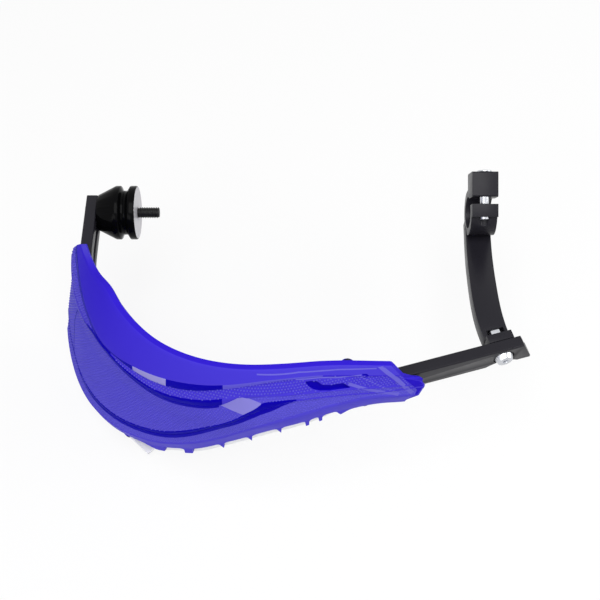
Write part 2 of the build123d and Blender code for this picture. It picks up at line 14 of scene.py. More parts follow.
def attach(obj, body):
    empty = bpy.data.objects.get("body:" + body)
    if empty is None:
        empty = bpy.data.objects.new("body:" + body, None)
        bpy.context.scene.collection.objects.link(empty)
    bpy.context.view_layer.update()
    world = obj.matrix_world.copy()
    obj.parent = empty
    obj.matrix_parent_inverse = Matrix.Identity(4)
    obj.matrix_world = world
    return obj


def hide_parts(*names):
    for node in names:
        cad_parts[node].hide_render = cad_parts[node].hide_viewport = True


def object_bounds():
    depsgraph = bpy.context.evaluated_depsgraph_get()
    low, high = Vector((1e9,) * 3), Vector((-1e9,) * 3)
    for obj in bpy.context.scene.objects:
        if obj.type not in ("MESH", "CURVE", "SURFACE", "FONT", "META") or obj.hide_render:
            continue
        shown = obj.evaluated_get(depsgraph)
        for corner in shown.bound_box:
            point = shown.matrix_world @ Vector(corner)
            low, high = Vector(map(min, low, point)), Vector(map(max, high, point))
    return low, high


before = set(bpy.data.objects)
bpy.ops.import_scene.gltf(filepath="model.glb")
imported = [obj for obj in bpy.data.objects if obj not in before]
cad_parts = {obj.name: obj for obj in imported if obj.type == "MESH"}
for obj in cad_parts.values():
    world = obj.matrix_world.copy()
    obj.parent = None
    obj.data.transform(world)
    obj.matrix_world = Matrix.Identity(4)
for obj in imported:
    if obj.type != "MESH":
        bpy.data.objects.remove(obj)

cad_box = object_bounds()
MM = 0.001
print("nodes:", ", ".join(sorted(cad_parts)))

# %% [markdown]
# ## Small helpers
# Colours are written as sRGB hex values, as a paint shop would give them, and one function makes them
# linear. One function adds a shader or geometry node: it takes the settings of the node and what goes
# into its sockets. A value that is a socket is linked, any other value is set on the socket itself.

# %% Colour and node helpers


def linear(code):
    """Linear red, green, blue and alpha from an sRGB hex value."""
    parts = [int(code[i:i + 2], 16) / 255 for i in (1, 3, 5)]
    return [c / 12.92 if c <= 0.04045 else ((c + 0.055) / 1.055) ** 2.4 for c in parts] + [1.0]


def add(tree, kind, settings=None, inputs=None):
    """Add a node of one kind to a tree, with its settings, and link or set its inputs."""
    node = tree.nodes.new(kind)
    for name, value in (settings or {}).items():
        setattr(node, name, value)
    for name, value in (inputs or {}).items():
        if isinstance(value, bpy.types.NodeSocket):
            tree.links.new(value, node.inputs[name])
        else:
            node.inputs[name].default_value = value
    return node


def new_material(name):
    """An empty node material with its output; returns the material, its tree and the output node."""
    material = bpy.data.materials.new(name)
    material.use_nodes = True
    tree = material.node_tree
    tree.nodes.clear()
    return material, tree, add(tree, "ShaderNodeOutputMaterial")


# %% [markdown]
# ## Blue polypropylene
# The shell is injection moulded polypropylene. Such a part has a satin skin with a very fine spark-eroded
# grain. Its blue is one colour, but light and shade are painted into it here: the ledges between the panels
# are painted deep as shade, each panel is painted lighter or darker by how the light falls on it, and a few
# facets are painted pale as highlights. A material for each panel would do, but the grain would then be set
# many times over. So each face of the shell carries a number of painted light and shade, and one material
# tints the face by it. The grain of a real mould is about 0.1 mm, too fine to show, so it is drawn at 0.6 mm
# here.

# %% Blue plastic
blue_plastic, tree, out = new_material("moulded_blue_polypropylene")
coords = add(tree, "ShaderNodeTexCoord")
# Each face's number of painted light and shade picks a blue from the ramp below: painted deep shade at 0,
# painted highlight at 1. The plastic itself is one blue.
shade = add(tree, "ShaderNodeAttribute", {"attribute_type": "GEOMETRY", "attribute_name": "shade"})
tint = add(tree, "ShaderNodeValToRGB", None, {"Fac": shade.outputs["Fac"]})
BLUES = ((0.0, "#0A01A0"), (0.25, "#2A17BC"), (0.5, "#3B2CC4"), (0.75, "#5F59C6"), (1.0, "#948FCF"))
ramp = tint.color_ramp.elements
for end in (0, -1):
    ramp[end].position = BLUES[end][0]
    ramp[end].color = linear(BLUES[end][1])
for place, code in BLUES[1:-1]:
    ramp.new(place).color = linear(code)
GRAIN_MM, GRAIN_DEPTH_MM, BLOTCH_MM = 0.6, 0.1, 30
# The values of a noise texture lie mostly between these two.
NOISE_LOW, NOISE_HIGH = 0.3, 0.7
# The mirror level is set far below that of the real plastic, so that the ledges painted in deep shade stay
# blue above a white floor.
PLASTIC_IOR, BLUE_MIRROR = 1.49, 0.015
grain = add(tree, "ShaderNodeTexNoise", None,
            {"Vector": coords.outputs["Object"], "Scale": 1 / (GRAIN_MM * MM),
             "Detail": 2.0, "Roughness": 0.6})
blotch = add(tree, "ShaderNodeTexNoise", None,
             {"Vector": coords.outputs["Object"], "Scale": 1 / (BLOTCH_MM * MM), "Detail": 2.0})
rough = add(tree, "ShaderNodeMapRange", None,
            {"Value": blotch.outputs["Fac"], "From Min": NOISE_LOW, "From Max": NOISE_HIGH,
             "To Min": 0.36, "To Max": 0.46})
bump = add(tree, "ShaderNodeBump", None,
           {"Height": grain.outputs["Fac"], "Strength": 0.12, "Distance": GRAIN_DEPTH_MM * MM})
skin = add(tree, "ShaderNodeBsdfPrincipled", None,
           {"Base Color": tint.outputs["Color"], "Roughness": rough.outputs["Result"], "IOR": PLASTIC_IOR,
            "Specular IOR Level": BLUE_MIRROR, "Normal": bump.outputs["Normal"]})
tree.links.new(skin.outputs["BSDF"], out.inputs["Surface"])
print("material", blue_plastic.name)

# %% [markdown]
# ## White polypropylene
# The vent panel is the same plastic in white. It is a little dull, with a faint grey dust in patches. A
# painted map of dust would have seams. A noise texture on the object's own coordinates has none, so it
# tints the panel here.

# %% White plastic
DUST_MM = 12
white_plastic, tree, out = new_material("moulded_white_polypropylene")
coords = add(tree, "ShaderNodeTexCoord")
dust = add(tree, "ShaderNodeTexNoise", None,
           {"Vector": coords.outputs["Object"], "Scale": 1 / (DUST_MM * MM), "Detail": 3.0})
tone = add(tree, "ShaderNodeMix", {"data_type": "RGBA"},
           {"Factor": dust.outputs["Fac"], "A": linear("#F4F4F5"), "B": linear("#E4E4E8")})
grain = add(tree, "ShaderNodeTexNoise", None,
            {"Vector": coords.outputs["Object"], "Scale": 1 / (GRAIN_MM * MM), "Detail": 2.0})
bump = add(tree, "ShaderNodeBump", None,
           {"Height": grain.outputs["Fac"], "Strength": 0.08, "Distance": GRAIN_DEPTH_MM * MM})
skin = add(tree, "ShaderNodeBsdfPrincipled", None,
           {"Base Color": tone.outputs["Result"], "Roughness": 0.48, "IOR": PLASTIC_IOR,
            "Normal": bump.outputs["Normal"]})
tree.links.new(skin.outputs["BSDF"], out.inputs["Surface"])
print("material", white_plastic.name)

# %% [markdown]
# ## Black metals
# The bar, the arm and the clamp are black anodised aluminium: extruded or milled, bead blasted, then
# dyed. The dye gives a near-black with a soft sheen. The turned bar end is smoother. The screws are black
# oxide steel. The straps are black nylon, which looks much the same. They differ only in colour, mirror,
# roughness and grain, so a loop makes them from one table of plain values. The grain is drawn about half
# a millimetre wide, because the real one is too fine to show.

# %% Anodised aluminium, turned black, black oxide steel, black nylon
WEAR_MM, COATING_IOR = 18, 1.6
black_metals = {}
for name, code, mirror, low, high, grain_mm, strength in (
    ("black_anodised_aluminium", "#1D1C22", 0.12, 0.30, 0.40, 0.5, 0.10),
    ("turned_black_aluminium", "#070708", 0.03, 0.10, 0.16, 0.4, 0.03),
    ("black_oxide_steel", "#1A1A1B", 0.14, 0.34, 0.46, 0.5, 0.10),
    ("moulded_black_nylon", "#19191B", 0.12, 0.5, 0.6, 0.6, 0.12),
):
    metal, tree, out = new_material(name)
    coords = add(tree, "ShaderNodeTexCoord")
    grain = add(tree, "ShaderNodeTexNoise", None,
                {"Vector": coords.outputs["Object"], "Scale": 1 / (grain_mm * MM), "Detail": 3.0})
    wear = add(tree, "ShaderNodeTexNoise", None,
               {"Vector": coords.outputs["Object"], "Scale": 1 / (WEAR_MM * MM), "Detail": 4.0})
    rough = add(tree, "ShaderNodeMapRange", None,
                {"Value": wear.outputs["Fac"], "From Min": NOISE_LOW, "From Max": NOISE_HIGH,
                 "To Min": low, "To Max": high})
    bump = add(tree, "ShaderNodeBump", None,
               {"Height": grain.outputs["Fac"], "Strength": strength, "Distance": GRAIN_DEPTH_MM * MM})
    skin = add(tree, "ShaderNodeBsdfPrincipled", None,
               {"Base Color": linear(code), "Roughness": rough.outputs["Result"], "IOR": COATING_IOR,
                "Specular IOR Level": mirror, "Normal": bump.outputs["Normal"]})
    tree.links.new(skin.outputs["BSDF"], out.inputs["Surface"])
    black_metals[name] = metal
    print("material", name)

# %% [markdown]
# ## Zinc plated steel
# The pivot bolt, its nut and the clamp screw are bright zinc: a metal with a fine crystalline mottle. The
# crystals are too flat for a bump. They show in how sharply the metal mirrors the room, so a noise
# texture sets the roughness. They are drawn coarser than they are, so that they show.

# %% Zinc plate
MOTTLE_MM = 1.5
zinc_steel, tree, out = new_material("zinc_plated_steel")
coords = add(tree, "ShaderNodeTexCoord")
mottle = add(tree, "ShaderNodeTexNoise", None,
             {"Vector": coords.outputs["Object"], "Scale": 1 / (MOTTLE_MM * MM), "Detail": 3.0})
rough = add(tree, "ShaderNodeMapRange", None,
            {"Value": mottle.outputs["Fac"], "From Min": NOISE_LOW, "From Max": NOISE_HIGH,
             "To Min": 0.2, "To Max": 0.36})
skin = add(tree, "ShaderNodeBsdfPrincipled", None,
           {"Base Color": linear("#C9CBD0"), "Metallic": 1.0, "Roughness": rough.outputs["Result"]})
tree.links.new(skin.outputs["BSDF"], out.inputs["Surface"])
print("material", zinc_steel.name)

# %% [markdown]
# ## Finishing a piece
# Every finished piece is a plain mesh at the origin. It rides on the one body of this part and hides the
# CAD node that it stands for. The CAD edges are sharp. They could be rounded one by one, but a Bevel
# modifier rounds every edge above an angle at once, and the result is kept as a plain mesh.

# %% Finish and dress
MERGE_MM, FLAT_DEGREES, SHARP_DEGREES = 0.002, 1.0, 32


def finish_piece(piece, slot, *nodes):
    """Give a piece to the body and let it stand for CAD nodes. The slot is not used."""
    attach(piece, "root")
    if nodes:
        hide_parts(*nodes)
    print(piece.name, len(piece.data.polygons), "faces")


def new_piece(name, mesh, material):
    """Link a mesh to the scene as an object with one material."""
    piece = bpy.data.objects.new(name, mesh)
    bpy.context.collection.objects.link(piece)
    if material:
        mesh.materials.append(material)
    return piece


def bake_modifiers(piece):
    """Turn the evaluated object into a plain mesh and take its modifiers off."""
    depsgraph = bpy.context.evaluated_depsgraph_get()
    mesh = bpy.data.meshes.new_from_object(piece.evaluated_get(depsgraph))
    piece.modifiers.clear()
    piece.data = mesh
    return mesh


def dressed_copy(node, name, material, edge_mm):
    """A copy of a CAD node with its edges rounded, because no real edge is razor sharp."""
    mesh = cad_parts[node].data.copy()
    mesh.materials.clear()
    shape = bmesh.new()
    shape.from_mesh(mesh)
    bmesh.ops.remove_doubles(shape, verts=shape.verts, dist=MERGE_MM * MM)
    bmesh.ops.dissolve_limit(shape, angle_limit=math.radians(FLAT_DEGREES),
                             verts=shape.verts, edges=shape.edges)
    shape.to_mesh(mesh)
    shape.free()
    piece = new_piece(name, mesh, material)
    piece.matrix_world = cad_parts[node].matrix_world.copy()
    bevel = piece.modifiers.new("edges", "BEVEL")
    bevel.width = edge_mm * MM
    bevel.segments = 2
    bevel.limit_method = "ANGLE"
    bevel.angle_limit = math.radians(SHARP_DEGREES)
    bevel.use_clamp_overlap = True
    mesh = bake_modifiers(piece)
    mesh.transform(piece.matrix_world)
    piece.matrix_world = Matrix.Identity(4)
    for face in mesh.polygons:
        face.use_smooth = True
    mesh.set_sharp_from_angle(angle=math.radians(SHARP_DEGREES))
    return piece


# %% [markdown]
# ## The camera and the light
# The photo looks down on the guard at sixty degrees from in front of it. The lens was fitted to the photo
# together with the sizes, so the camera is written as plain numbers. The light is a white room: a large
# soft lamp above, smaller ones in front and at the right, and a dim world. The camera and mirrors see that
# world and the floor as white, which puts no more light on the object.

# %% Camera and lamps
camera_data = bpy.data.cameras.new("camera")
camera_data.sensor_width = 36.0
camera_data.lens = 60.72
camera = bpy.data.objects.new("camera", camera_data)
camera.location = (0.1149, -0.4126, 0.5908)
camera.rotation_euler = (math.radians(30), 0, 0)
bpy.context.collection.objects.link(camera)
scene = bpy.context.scene
scene.camera = camera
scene.view_settings.view_transform = "Standard"

lamp_aim = Vector((0.11, -0.08, -0.02))
for name, place, size, power in (
    ("lamp_above", (0.1, -0.35, 1.3), 1.1, 15.0),
    ("lamp_front", (-0.6, -1.2, 0.7), 0.8, 5.0),
    ("lamp_right", (1.1, -0.1, 0.45), 0.6, 4.5),
):
    lamp_data = bpy.data.lights.new(name, "AREA")
    lamp_data.size = size
    lamp_data.energy = power
    lamp = bpy.data.objects.new(name, lamp_data)
    lamp.location = place
    lamp.rotation_euler = (lamp_aim - Vector(place)).to_track_quat("-Z", "Y").to_euler()
    bpy.context.collection.objects.link(lamp)
print("camera at", tuple(camera.location))

# %% World and floor
WHITE = (1, 1, 1, 1)
ROOM_LIGHT, FLOOR_GLOW = 0.34, 0.85
FLOOR_HALF, FLOOR_GAP = 4, 0.004


def seen_rays(tree):
    """One for a ray from the camera, a mirror or glass, and nothing for light on the object."""
    rays = add(tree, "ShaderNodeLightPath")
    mirrored = add(tree, "ShaderNodeMath", {"operation": "MAXIMUM"},
                   {0: rays.outputs["Is Camera Ray"], 1: rays.outputs["Is Glossy Ray"]})
    return add(tree, "ShaderNodeMath", {"operation": "MAXIMUM"},
               {0: mirrored.outputs["Value"], 1: rays.outputs["Is Transmission Ray"]})


world = bpy.data.worlds.new("white_room")
scene.world = world
world.use_nodes = True
tree = world.node_tree
tree.nodes.clear()
seen = seen_rays(tree)
room = add(tree, "ShaderNodeBackground", None, {"Color": WHITE, "Strength": ROOM_LIGHT})
white = add(tree, "ShaderNodeBackground", None, {"Color": WHITE, "Strength": 1.0})
both = add(tree, "ShaderNodeMixShader", None,
           {"Fac": seen.outputs["Value"], 1: room.outputs["Background"], 2: white.outputs["Background"]})
add(tree, "ShaderNodeOutputWorld", None, {"Surface": both.outputs["Shader"]})

floor_material, tree, out = new_material("pale_studio_floor")
paper = add(tree, "ShaderNodeBsdfDiffuse", None, {"Color": linear("#E9E9E9")})
glow = add(tree, "ShaderNodeEmission", None, {"Color": WHITE, "Strength": 1.0})
seen = add(tree, "ShaderNodeMath", {"operation": "MULTIPLY"},
           {0: seen_rays(tree).outputs["Value"], 1: FLOOR_GLOW})
both = add(tree, "ShaderNodeMixShader", None,
           {"Fac": seen.outputs["Value"], 1: paper.outputs["BSDF"], 2: glow.outputs["Emission"]})
tree.links.new(both.outputs["Shader"], out.inputs["Surface"])
floor_mesh = bpy.data.meshes.new("floor")
floor_z = cad_box[0][2] - FLOOR_GAP
corners = [(x * FLOOR_HALF, y * FLOOR_HALF, floor_z) for x, y in ((-1, -1), (1, -1), (1, 1), (-1, 1))]
floor_mesh.from_pydata(corners, [], [(0, 1, 2, 3)])
floor = new_piece("floor", floor_mesh, floor_material)
print("floor at", round(floor_z, 4))

# %% [markdown]
# ## The shell's lines
# The shell wraps round the outside of the bar, so its shape is written along the bar. A distance in
# millimetres says how far along the bar a cross-section stands, and each crease of the shell is a smooth
# curve of heights through a few knots. The shell could be sculpted by hand, but then its creases would
# leave those of the CAD model, so these are the same knots as in the CAD source. Between two creases the
# skin here follows a gentle curve, where the CAD section is straight.

# %% The bar's path
BEND_CENTRE = (88.5, -31.3)
BEND_RADIUS = 120.0
BEND_LEAD = 7.8
LEFT_HEADING = math.radians(-90.0)
RIGHT_HEADING = math.radians(15.9)
BEND_END = (RIGHT_HEADING - LEFT_HEADING) * BEND_RADIUS - BEND_LEAD


def on_bar(s, out_mm, up_mm):
    """A point in metres beside the bar: distance along it, distance outwards from it, and height."""
    turn = min(max(LEFT_HEADING + (s + BEND_LEAD) / BEND_RADIUS, LEFT_HEADING), RIGHT_HEADING)
    straight = min(s + BEND_LEAD, 0.0) + max(s - BEND_END, 0.0)
    x = BEND_CENTRE[0] + (BEND_RADIUS + out_mm) * math.sin(turn) + straight * math.cos(turn)
    y = BEND_CENTRE[1] - (BEND_RADIUS + out_mm) * math.cos(turn) + straight * math.sin(turn)
    return Vector((x, y, up_mm)) * MM


print("the bend ends", round(BEND_END, 1), "mm along the bar")

# %% The crease lines


def along(knots, s):
    """Smooth curve through a few (distance, value) knots."""
    if s <= knots[0][0]:
        return knots[0][1]
    if s >= knots[-1][0]:
        return knots[-1][1]
    slopes = []
    for i in range(len(knots)):
        before = knots[max(i - 1, 0)]
        after = knots[min(i + 1, len(knots) - 1)]
        slopes.append((after[1] - before[1]) / (after[0] - before[0]))
    for i in range(len(knots) - 1):
        (s0, v0), (s1, v1) = knots[i], knots[i + 1]
        if s <= s1:
            span = s1 - s0
            t = (s - s0) / span
            a = v0 * (1 + 2 * t) * (1 - t) ** 2 + slopes[i] * span * t * (1 - t) ** 2
            return a + v1 * (3 - 2 * t) * t**2 - slopes[i + 1] * span * (1 - t) * t**2


RIM_LINE = ((-6, 27), (21, 35), (37, 38.3), (55, 42.3), (73, 41.3), (111, 39.6), (183, 41), (209, 39.7),
            (234, 35.4), (264, 27.6), (296, 18.5))
ROOF_EDGE = ((-6, 25), (10, 26.5), (28, 25), (52, 18), (74, 13.2), (105, 19.9), (146, 28.4), (183, 34.9),
             (208, 34.5), (233, 29.7), (258, 22.6), (296, 11.5))
ROOF_STEP = ((-6, 0.8), (70, 0.8), (84, 1.8), (101, 4.9), (116, 6.4), (134, 6.4), (158, 4), (183, 2.4),
             (208, 0.9), (296, 0.6))
WING_CREST = ((-6, 6), (31, 5), (50, 8), (62, 11.2), (76, 11.6), (99, 11), (121, 11.6), (147, 17.6),
              (172, 25.5), (183, 26), (208, 24), (231, 20), (256, 14), (296, 4))
WING_STEP = ((-6, 3), (50, 3.6), (76, 4.4), (99, 5), (121, 6), (147, 6.2), (159, 5.8), (172, 3), (190, 1),
             (296, 1))
WING_FOOT = ((-6, -42), (37, -53), (50, -57), (70, -55.4), (99, -44.4), (127, -29.6), (159, -1.6),
             (173, 11.2), (183, 20), (200, 20.6), (231, 15.5), (256, 9.5), (296, 2))
FOOT_STEP = ((-6, 4), (44, 6), (57, 6.2), (70, 5.2), (84, 4.4), (110, 4.8), (136, 6), (161, 4.4), (173, 4.4),
             (185, 6), (202, 1), (296, 1))
BELLY_LINE = ((-6, -56), (40, -70), (60, -71), (80, -65), (100, -57), (120, -47.8), (139, -36), (158, -20.6),
              (176, -3.9), (193, 5.4), (211, 9.1), (231, 9.5), (250, 8), (270, 1.4), (296, -10))
BOTTOM_LINE = ((-6, -64), (41, -79), (64, -82.5), (80, -77.5), (98, -69.5), (115, -63.5), (128, -57),
               (143, -49.5), (165, -31), (184, -15), (199, -8), (225, -3.5), (241, -8), (258, -12.5),
               (278, -20.5), (296, -23))
BOTTOM_TUCK = ((-6, 4.5), (150, 4.5), (185, 2.7), (226, 2.7), (245, 4.2), (296, 4.2))
ROOF_RELIEF = ((-6, 0.2), (80, 0.3), (104, 0.7), (150, 0.7), (190, 0.5), (208, 0.2), (296, 0.0))
WING_RELIEF = ((-6, 0.0), (46, 0.0), (62, 0.5), (99, 0.8), (157, 0.8), (172, 0.5), (190, 0.1), (296, 0.0))
FOOT_RELIEF = ((-6, 0.5), (44, 0.7), (160, 0.8), (180, 0.7), (202, 0.1), (296, 0.0))
BELLY_RELIEF = 0.5
RIM_WIDTH = 3.9
RIM_FALL = 0.2
WALL = 3.0
# Above CROWN_START the shell bends in over the hand. Below it the shell flares out at its outer end, and
# the flare fades away along the bar.
SHELL_REACH = 12.0
CROWN_START, CROWN_FALL = -8.0, 0.008
FLARE, FLARE_START, FLARE_RUN = 0.27, 85.0, 120.0


def shell_out(s, z):
    """Distance of the shell's smooth outer surface from the bar's centre line."""
    if z > CROWN_START:
        return SHELL_REACH - CROWN_FALL * (z - CROWN_START) ** 2
    t = min(max((s - FLARE_START) / FLARE_RUN, 0.0), 1.0)
    return SHELL_REACH - FLARE * (1.0 - t * t * (3.0 - 2.0 * t)) * (z - CROWN_START)


print(len(RIM_LINE), "knots in the rim line and", len(BOTTOM_LINE), "in the bottom line")

# %% [markdown]
# The lower edge of the shell runs out into narrow teeth with the white panel behind them. Between two
# teeth the edge is short, and at a tooth it hangs down, with a small fillet at each side of its root.
# Booleans could cut the slots, but a rule for the height of the edge gives the same shape and keeps the
# mesh a clean grid.

# %% The teeth of the lower edge
TEETH = ((135.5, 2.5), (157.0, 1.0), (175.0, 1.0), (193.0, 1.0), (210.0, 1.0), (218.5, 1.0))
VENT_START, VENT_END = 120.0, 230.0
SLOTS = list(zip([VENT_START] + [place + half for place, half in TEETH],
                 [place - half for place, half in TEETH] + [VENT_END]))
SLOT_CORNER, SLOT_CORNER_SHARE, SLOT_DROP = 3.0, 0.45, 0.3
SKIRT_LINE = ((-6, 0.8), (104, 0.8), (117, 7.5), (229, 7.5), (240, 0.8), (296, 0.8))


def edge_drop(s):
    """How far the shell's lower edge hangs below the bottom crease: little in a slot, more at a tooth."""
    for start, end in SLOTS:
        if start < s < end:
            corner = min(SLOT_CORNER, SLOT_CORNER_SHARE * (end - start))
            into = min(s - start, end - s, corner)
            return SLOT_DROP + corner - math.sqrt(corner**2 - (corner - into) ** 2)
    return along(SKIRT_LINE, s)


print(len(TEETH), "teeth and", len(SLOTS), "slots in the lower edge")

# %% [markdown]
# ## The shell as one closed mesh
# A mesh grid is laid over the shell: its rows follow the creases, its columns stand across the bar. Each
# crease becomes two rows close together, so smooth shading gives it a small radius like a moulded edge.
# Near its two ends the columns lean, so that the grid ends exactly on the slanting cuts. The same rows
# come back along the inside at the wall's thickness, which closes the mesh without any boolean. The faces
# get their painted light and shade here: deep shade on the ledges, a painted tone for each panel by how the
# light falls on it, a paler belly, and painted highlights on a few pale facets.

# %% Rows of one cross-section
# The panels of a cross-section from the top down. Each one starts at the corner that has its number.
RIM, ROOF, ROOF_LEDGE, STRIP, WING_LEDGE, WING, FOOT_LEDGE, LOWER_STRIP, BELLY, SKIRT = range(10)
PANEL_ROWS = (2, 9, 3, 6, 3, 14, 3, 5, 4, 3)
DOTTED_PANELS = (STRIP, WING, LOWER_STRIP)
# A crease takes this much of each panel beside it, but never more than a share of a narrow one.
CREASE_MM, CREASE_SHARE, LEAST_MM = 0.45, 0.3, 0.01
# The dotted panels are sunk by this much, so that the dots on them stay inside the CAD model's box.
DOT_RECESS_MM = 0.45
# The rim's outer corner lies this far below its line, so that the skin stays inside that box too.
TOP_CLEARANCE = 0.05


def crease_points(s):
    """Outside corner points of the cross-section: (outwards, up)."""
    rim = along(RIM_LINE, s)
    roof = along(ROOF_EDGE, s)
    ledge = roof - along(ROOF_STEP, s)
    crest = along(WING_CREST, s)
    wing = crest - along(WING_STEP, s)
    foot = along(WING_FOOT, s)
    lower = foot - along(FOOT_STEP, s)
    belly = along(BELLY_LINE, s)
    bottom = along(BOTTOM_LINE, s)
    tuck = shell_out(s, bottom) - along(BOTTOM_TUCK, s)
    rim_out = shell_out(s, rim)
    return [
        (rim_out - RIM_WIDTH, rim - RIM_FALL),
        (rim_out, rim - TOP_CLEARANCE),
        (shell_out(s, roof) + along(ROOF_RELIEF, s), roof),
        (shell_out(s, ledge) - along(ROOF_RELIEF, s), ledge),
        (shell_out(s, crest) + along(WING_RELIEF, s), crest),
        (shell_out(s, wing) - along(WING_RELIEF, s), wing),
        (shell_out(s, foot) + along(FOOT_RELIEF, s), foot),
        (shell_out(s, lower) - along(FOOT_RELIEF, s), lower),
        (shell_out(s, belly) + BELLY_RELIEF, belly),
        (tuck, bottom),
        (tuck, bottom - edge_drop(s)),
    ]


def outside_rows(s):
    """All the rows of the outside at the distance s, and the panel of each face between two rows."""
    corners = crease_points(s)
    rows, panels = [], []
    for panel, count in enumerate(PANEL_ROWS):
        (r0, z0), (r1, z1) = corners[panel], corners[panel + 1]
        length = math.hypot(r1 - r0, z1 - z0)
        ease = min(CREASE_MM / max(length, LEAST_MM), CREASE_SHARE)
        first = ease if panel > 0 else 0.0
        last = 1.0 - ease if panel < len(PANEL_ROWS) - 1 else 1.0
        sunk = DOT_RECESS_MM if panel in DOTTED_PANELS else 0.0
        lift0 = r0 - shell_out(s, z0) - sunk
        lift1 = r1 - shell_out(s, z1) - sunk
        if rows:
            panels.append(panel)
        for i in range(count + 1):
            t = first + (last - first) * i / count
            z = z0 + (z1 - z0) * t
            rows.append((shell_out(s, z) + lift0 + (lift1 - lift0) * t, z))
            if i:
                panels.append(panel)
    return rows, panels


# Beside the bar the inside wall is almost upright. It keeps clear of the rim and of the bottom crease.
INNER_HIGH, INNER_LOW, RIM_MARGIN, BOTTOM_MARGIN = 12.0, -11.5, 7.0, 5.0
# The rim's lip reaches in by this much, and the wall starts a little further out under it.
LIP_IN, LIP_DROP, UNDER_OUT, UNDER_DROP = 0.6, 1.6, 0.2, 3.4
# The wall is this much thicker at both ends of the upright stretch, and thinner at the lower edge.
THICK_HIGH, THICK_LOW, EDGE_THIN, EDGE_RISE = 0.6, 0.4, 0.4, 3.0
# Heights this close count as the same, and a stretch falls by at least the second value.
SAME_MM, LEAST_FALL_MM = 1e-9, 1e-6


def inside_rows(s, count):
    """The inside wall with as many rows as the outside, from the rim down to the edge."""
    corners = crease_points(s)
    rim_out, rim = corners[ROOF]
    tuck, bottom = corners[SKIRT]
    edge = corners[-1][1]
    low = max(INNER_LOW, bottom + BOTTOM_MARGIN)
    high = min(INNER_HIGH, rim - RIM_MARGIN)
    line = [
        (rim_out - RIM_WIDTH - LIP_IN, rim - RIM_FALL - LIP_DROP),
        (rim_out - RIM_WIDTH + UNDER_OUT, rim - RIM_FALL - UNDER_DROP),
        (shell_out(s, high) - WALL - THICK_HIGH, high),
        (shell_out(s, low) - WALL - THICK_LOW, low),
        (tuck - WALL, bottom + EDGE_RISE),
        (tuck - WALL + EDGE_THIN, edge),
    ]
    rows = []
    for i in range(count):
        z = line[0][1] + (line[-1][1] - line[0][1]) * i / (count - 1)
        for (r0, z0), (r1, z1) in zip(line, line[1:]):
            if z >= z1 - SAME_MM:
                rows.append((r0 + (r1 - r0) * (z0 - z) / max(z0 - z1, LEAST_FALL_MM), z))
                break
    return rows


# Every cross-section has the same rows, so any one of them gives their number.
PROBE = 100.0
row_count = len(outside_rows(PROBE)[0])
panel_of_face = outside_rows(PROBE)[1]
print(row_count, "rows in", len(PANEL_ROWS), "panels")

# %% Columns that lean to the slanting ends
LEFT_CUT = ((60, -60.8), (46, -54.0), (17, -40.0), (0, -38.0), (-42, -50.0), (-90, -70.0))
RIGHT_CUT = ((60, 263.5), (30.5, 263.5), (15, 274), (10, 284), (5, 287.5), (-4, 284), (-15, 277), (-90, 277))
COLUMN_STEP, COLUMN_COUNT, COLUMN_LEAST = 2.0, 144, 0.03
# Extra columns at each end of a slot, where the edge turns.
SLOT_COLUMNS = (-0.02, 0.02, 0.2, 0.6, 1.3, 2.2, 3.0)
# The columns before and after these two lean.
LEAN_LEFT, LEAN_RIGHT = 40.0, 244.0
# Where a row meets a cut is found from a guess, by going a share of the way a few times.
LEFT_GUESS, RIGHT_GUESS, LIMIT_TRIES, LIMIT_SHARE = 4.0, 278.0, 12, 0.6


def on_cut(cut, z):
    """Value of a cut line, given as (height, value) corners, at the height z."""
    for (z0, v0), (z1, v1) in zip(cut, cut[1:]):
        if z0 >= z >= z1:
            return v0 + (v1 - v0) * (z0 - z) / (z0 - z1)
    return cut[-1][1]


def left_limit(out_mm, z):
    """Distance along the bar at which the outer end cut, drawn in plan heights, crosses a row."""
    away = BEND_CENTRE[1] - on_cut(LEFT_CUT, z)
    return BEND_RADIUS * math.asin(away / (BEND_RADIUS + out_mm)) - BEND_LEAD


def right_limit(out_mm, z):
    """Distance along the bar at which the inner end cut crosses a row."""
    return on_cut(RIGHT_CUT, z)


columns = [i * COLUMN_STEP for i in range(COLUMN_COUNT)]
for start, end in SLOTS:
    for into in SLOT_COLUMNS:
        columns += [start + into, end - into]
columns = sorted(set(round(c, 3) for c in columns))
columns = [c for i, c in enumerate(columns) if i == 0 or c - columns[i - 1] > COLUMN_LEAST]


def lean(s, first, last):
    """Move a column near an end so that the grid ends on the cut."""
    if s < LEAN_LEFT:
        return first + (LEAN_LEFT - first) * s / LEAN_LEFT
    if s > LEAN_RIGHT:
        return LEAN_RIGHT + (last - LEAN_RIGHT) * (s - LEAN_RIGHT) / (columns[-1] - LEAN_RIGHT)
    return s


def row_limits(row, inside):
    """Where one row starts and ends: the distances at which it meets the two cuts."""
    limits = []
    for limit, s in ((left_limit, LEFT_GUESS), (right_limit, RIGHT_GUESS)):
        for _ in range(LIMIT_TRIES):
            rows = inside_rows(s, row_count) if inside else outside_rows(s)[0]
            s += LIMIT_SHARE * (limit(*rows[row]) - s)
        limits.append(s)
    return limits


grids = {}
for inside in (False, True):
    limits = [row_limits(row, inside) for row in range(row_count)]
    cache = {}
    grid = []
    for s in columns:
        line = []
        for row in range(row_count):
            place = round(lean(s, *limits[row]), 4)
            if place not in cache:
                cache[place] = inside_rows(place, row_count) if inside else outside_rows(place)[0]
            line.append((place,) + tuple(cache[place][row]))
        grid.append(line)
    grids[inside] = grid
print("shell grid:", len(columns), "columns of", row_count, "rows on each side")

# %% Painted light and shade of the panels
# Painted light and shade of each panel: the ledges are painted deep shade at 0, and the other panels are
# painted lighter or darker by how the light falls on them.
PANEL_SHADE = {STRIP: 0.54, WING_LEDGE: 0.0, WING: 0.63, FOOT_LEDGE: 0.0, LOWER_STRIP: 0.68, BELLY: 0.6,
               SKIRT: 0.58}
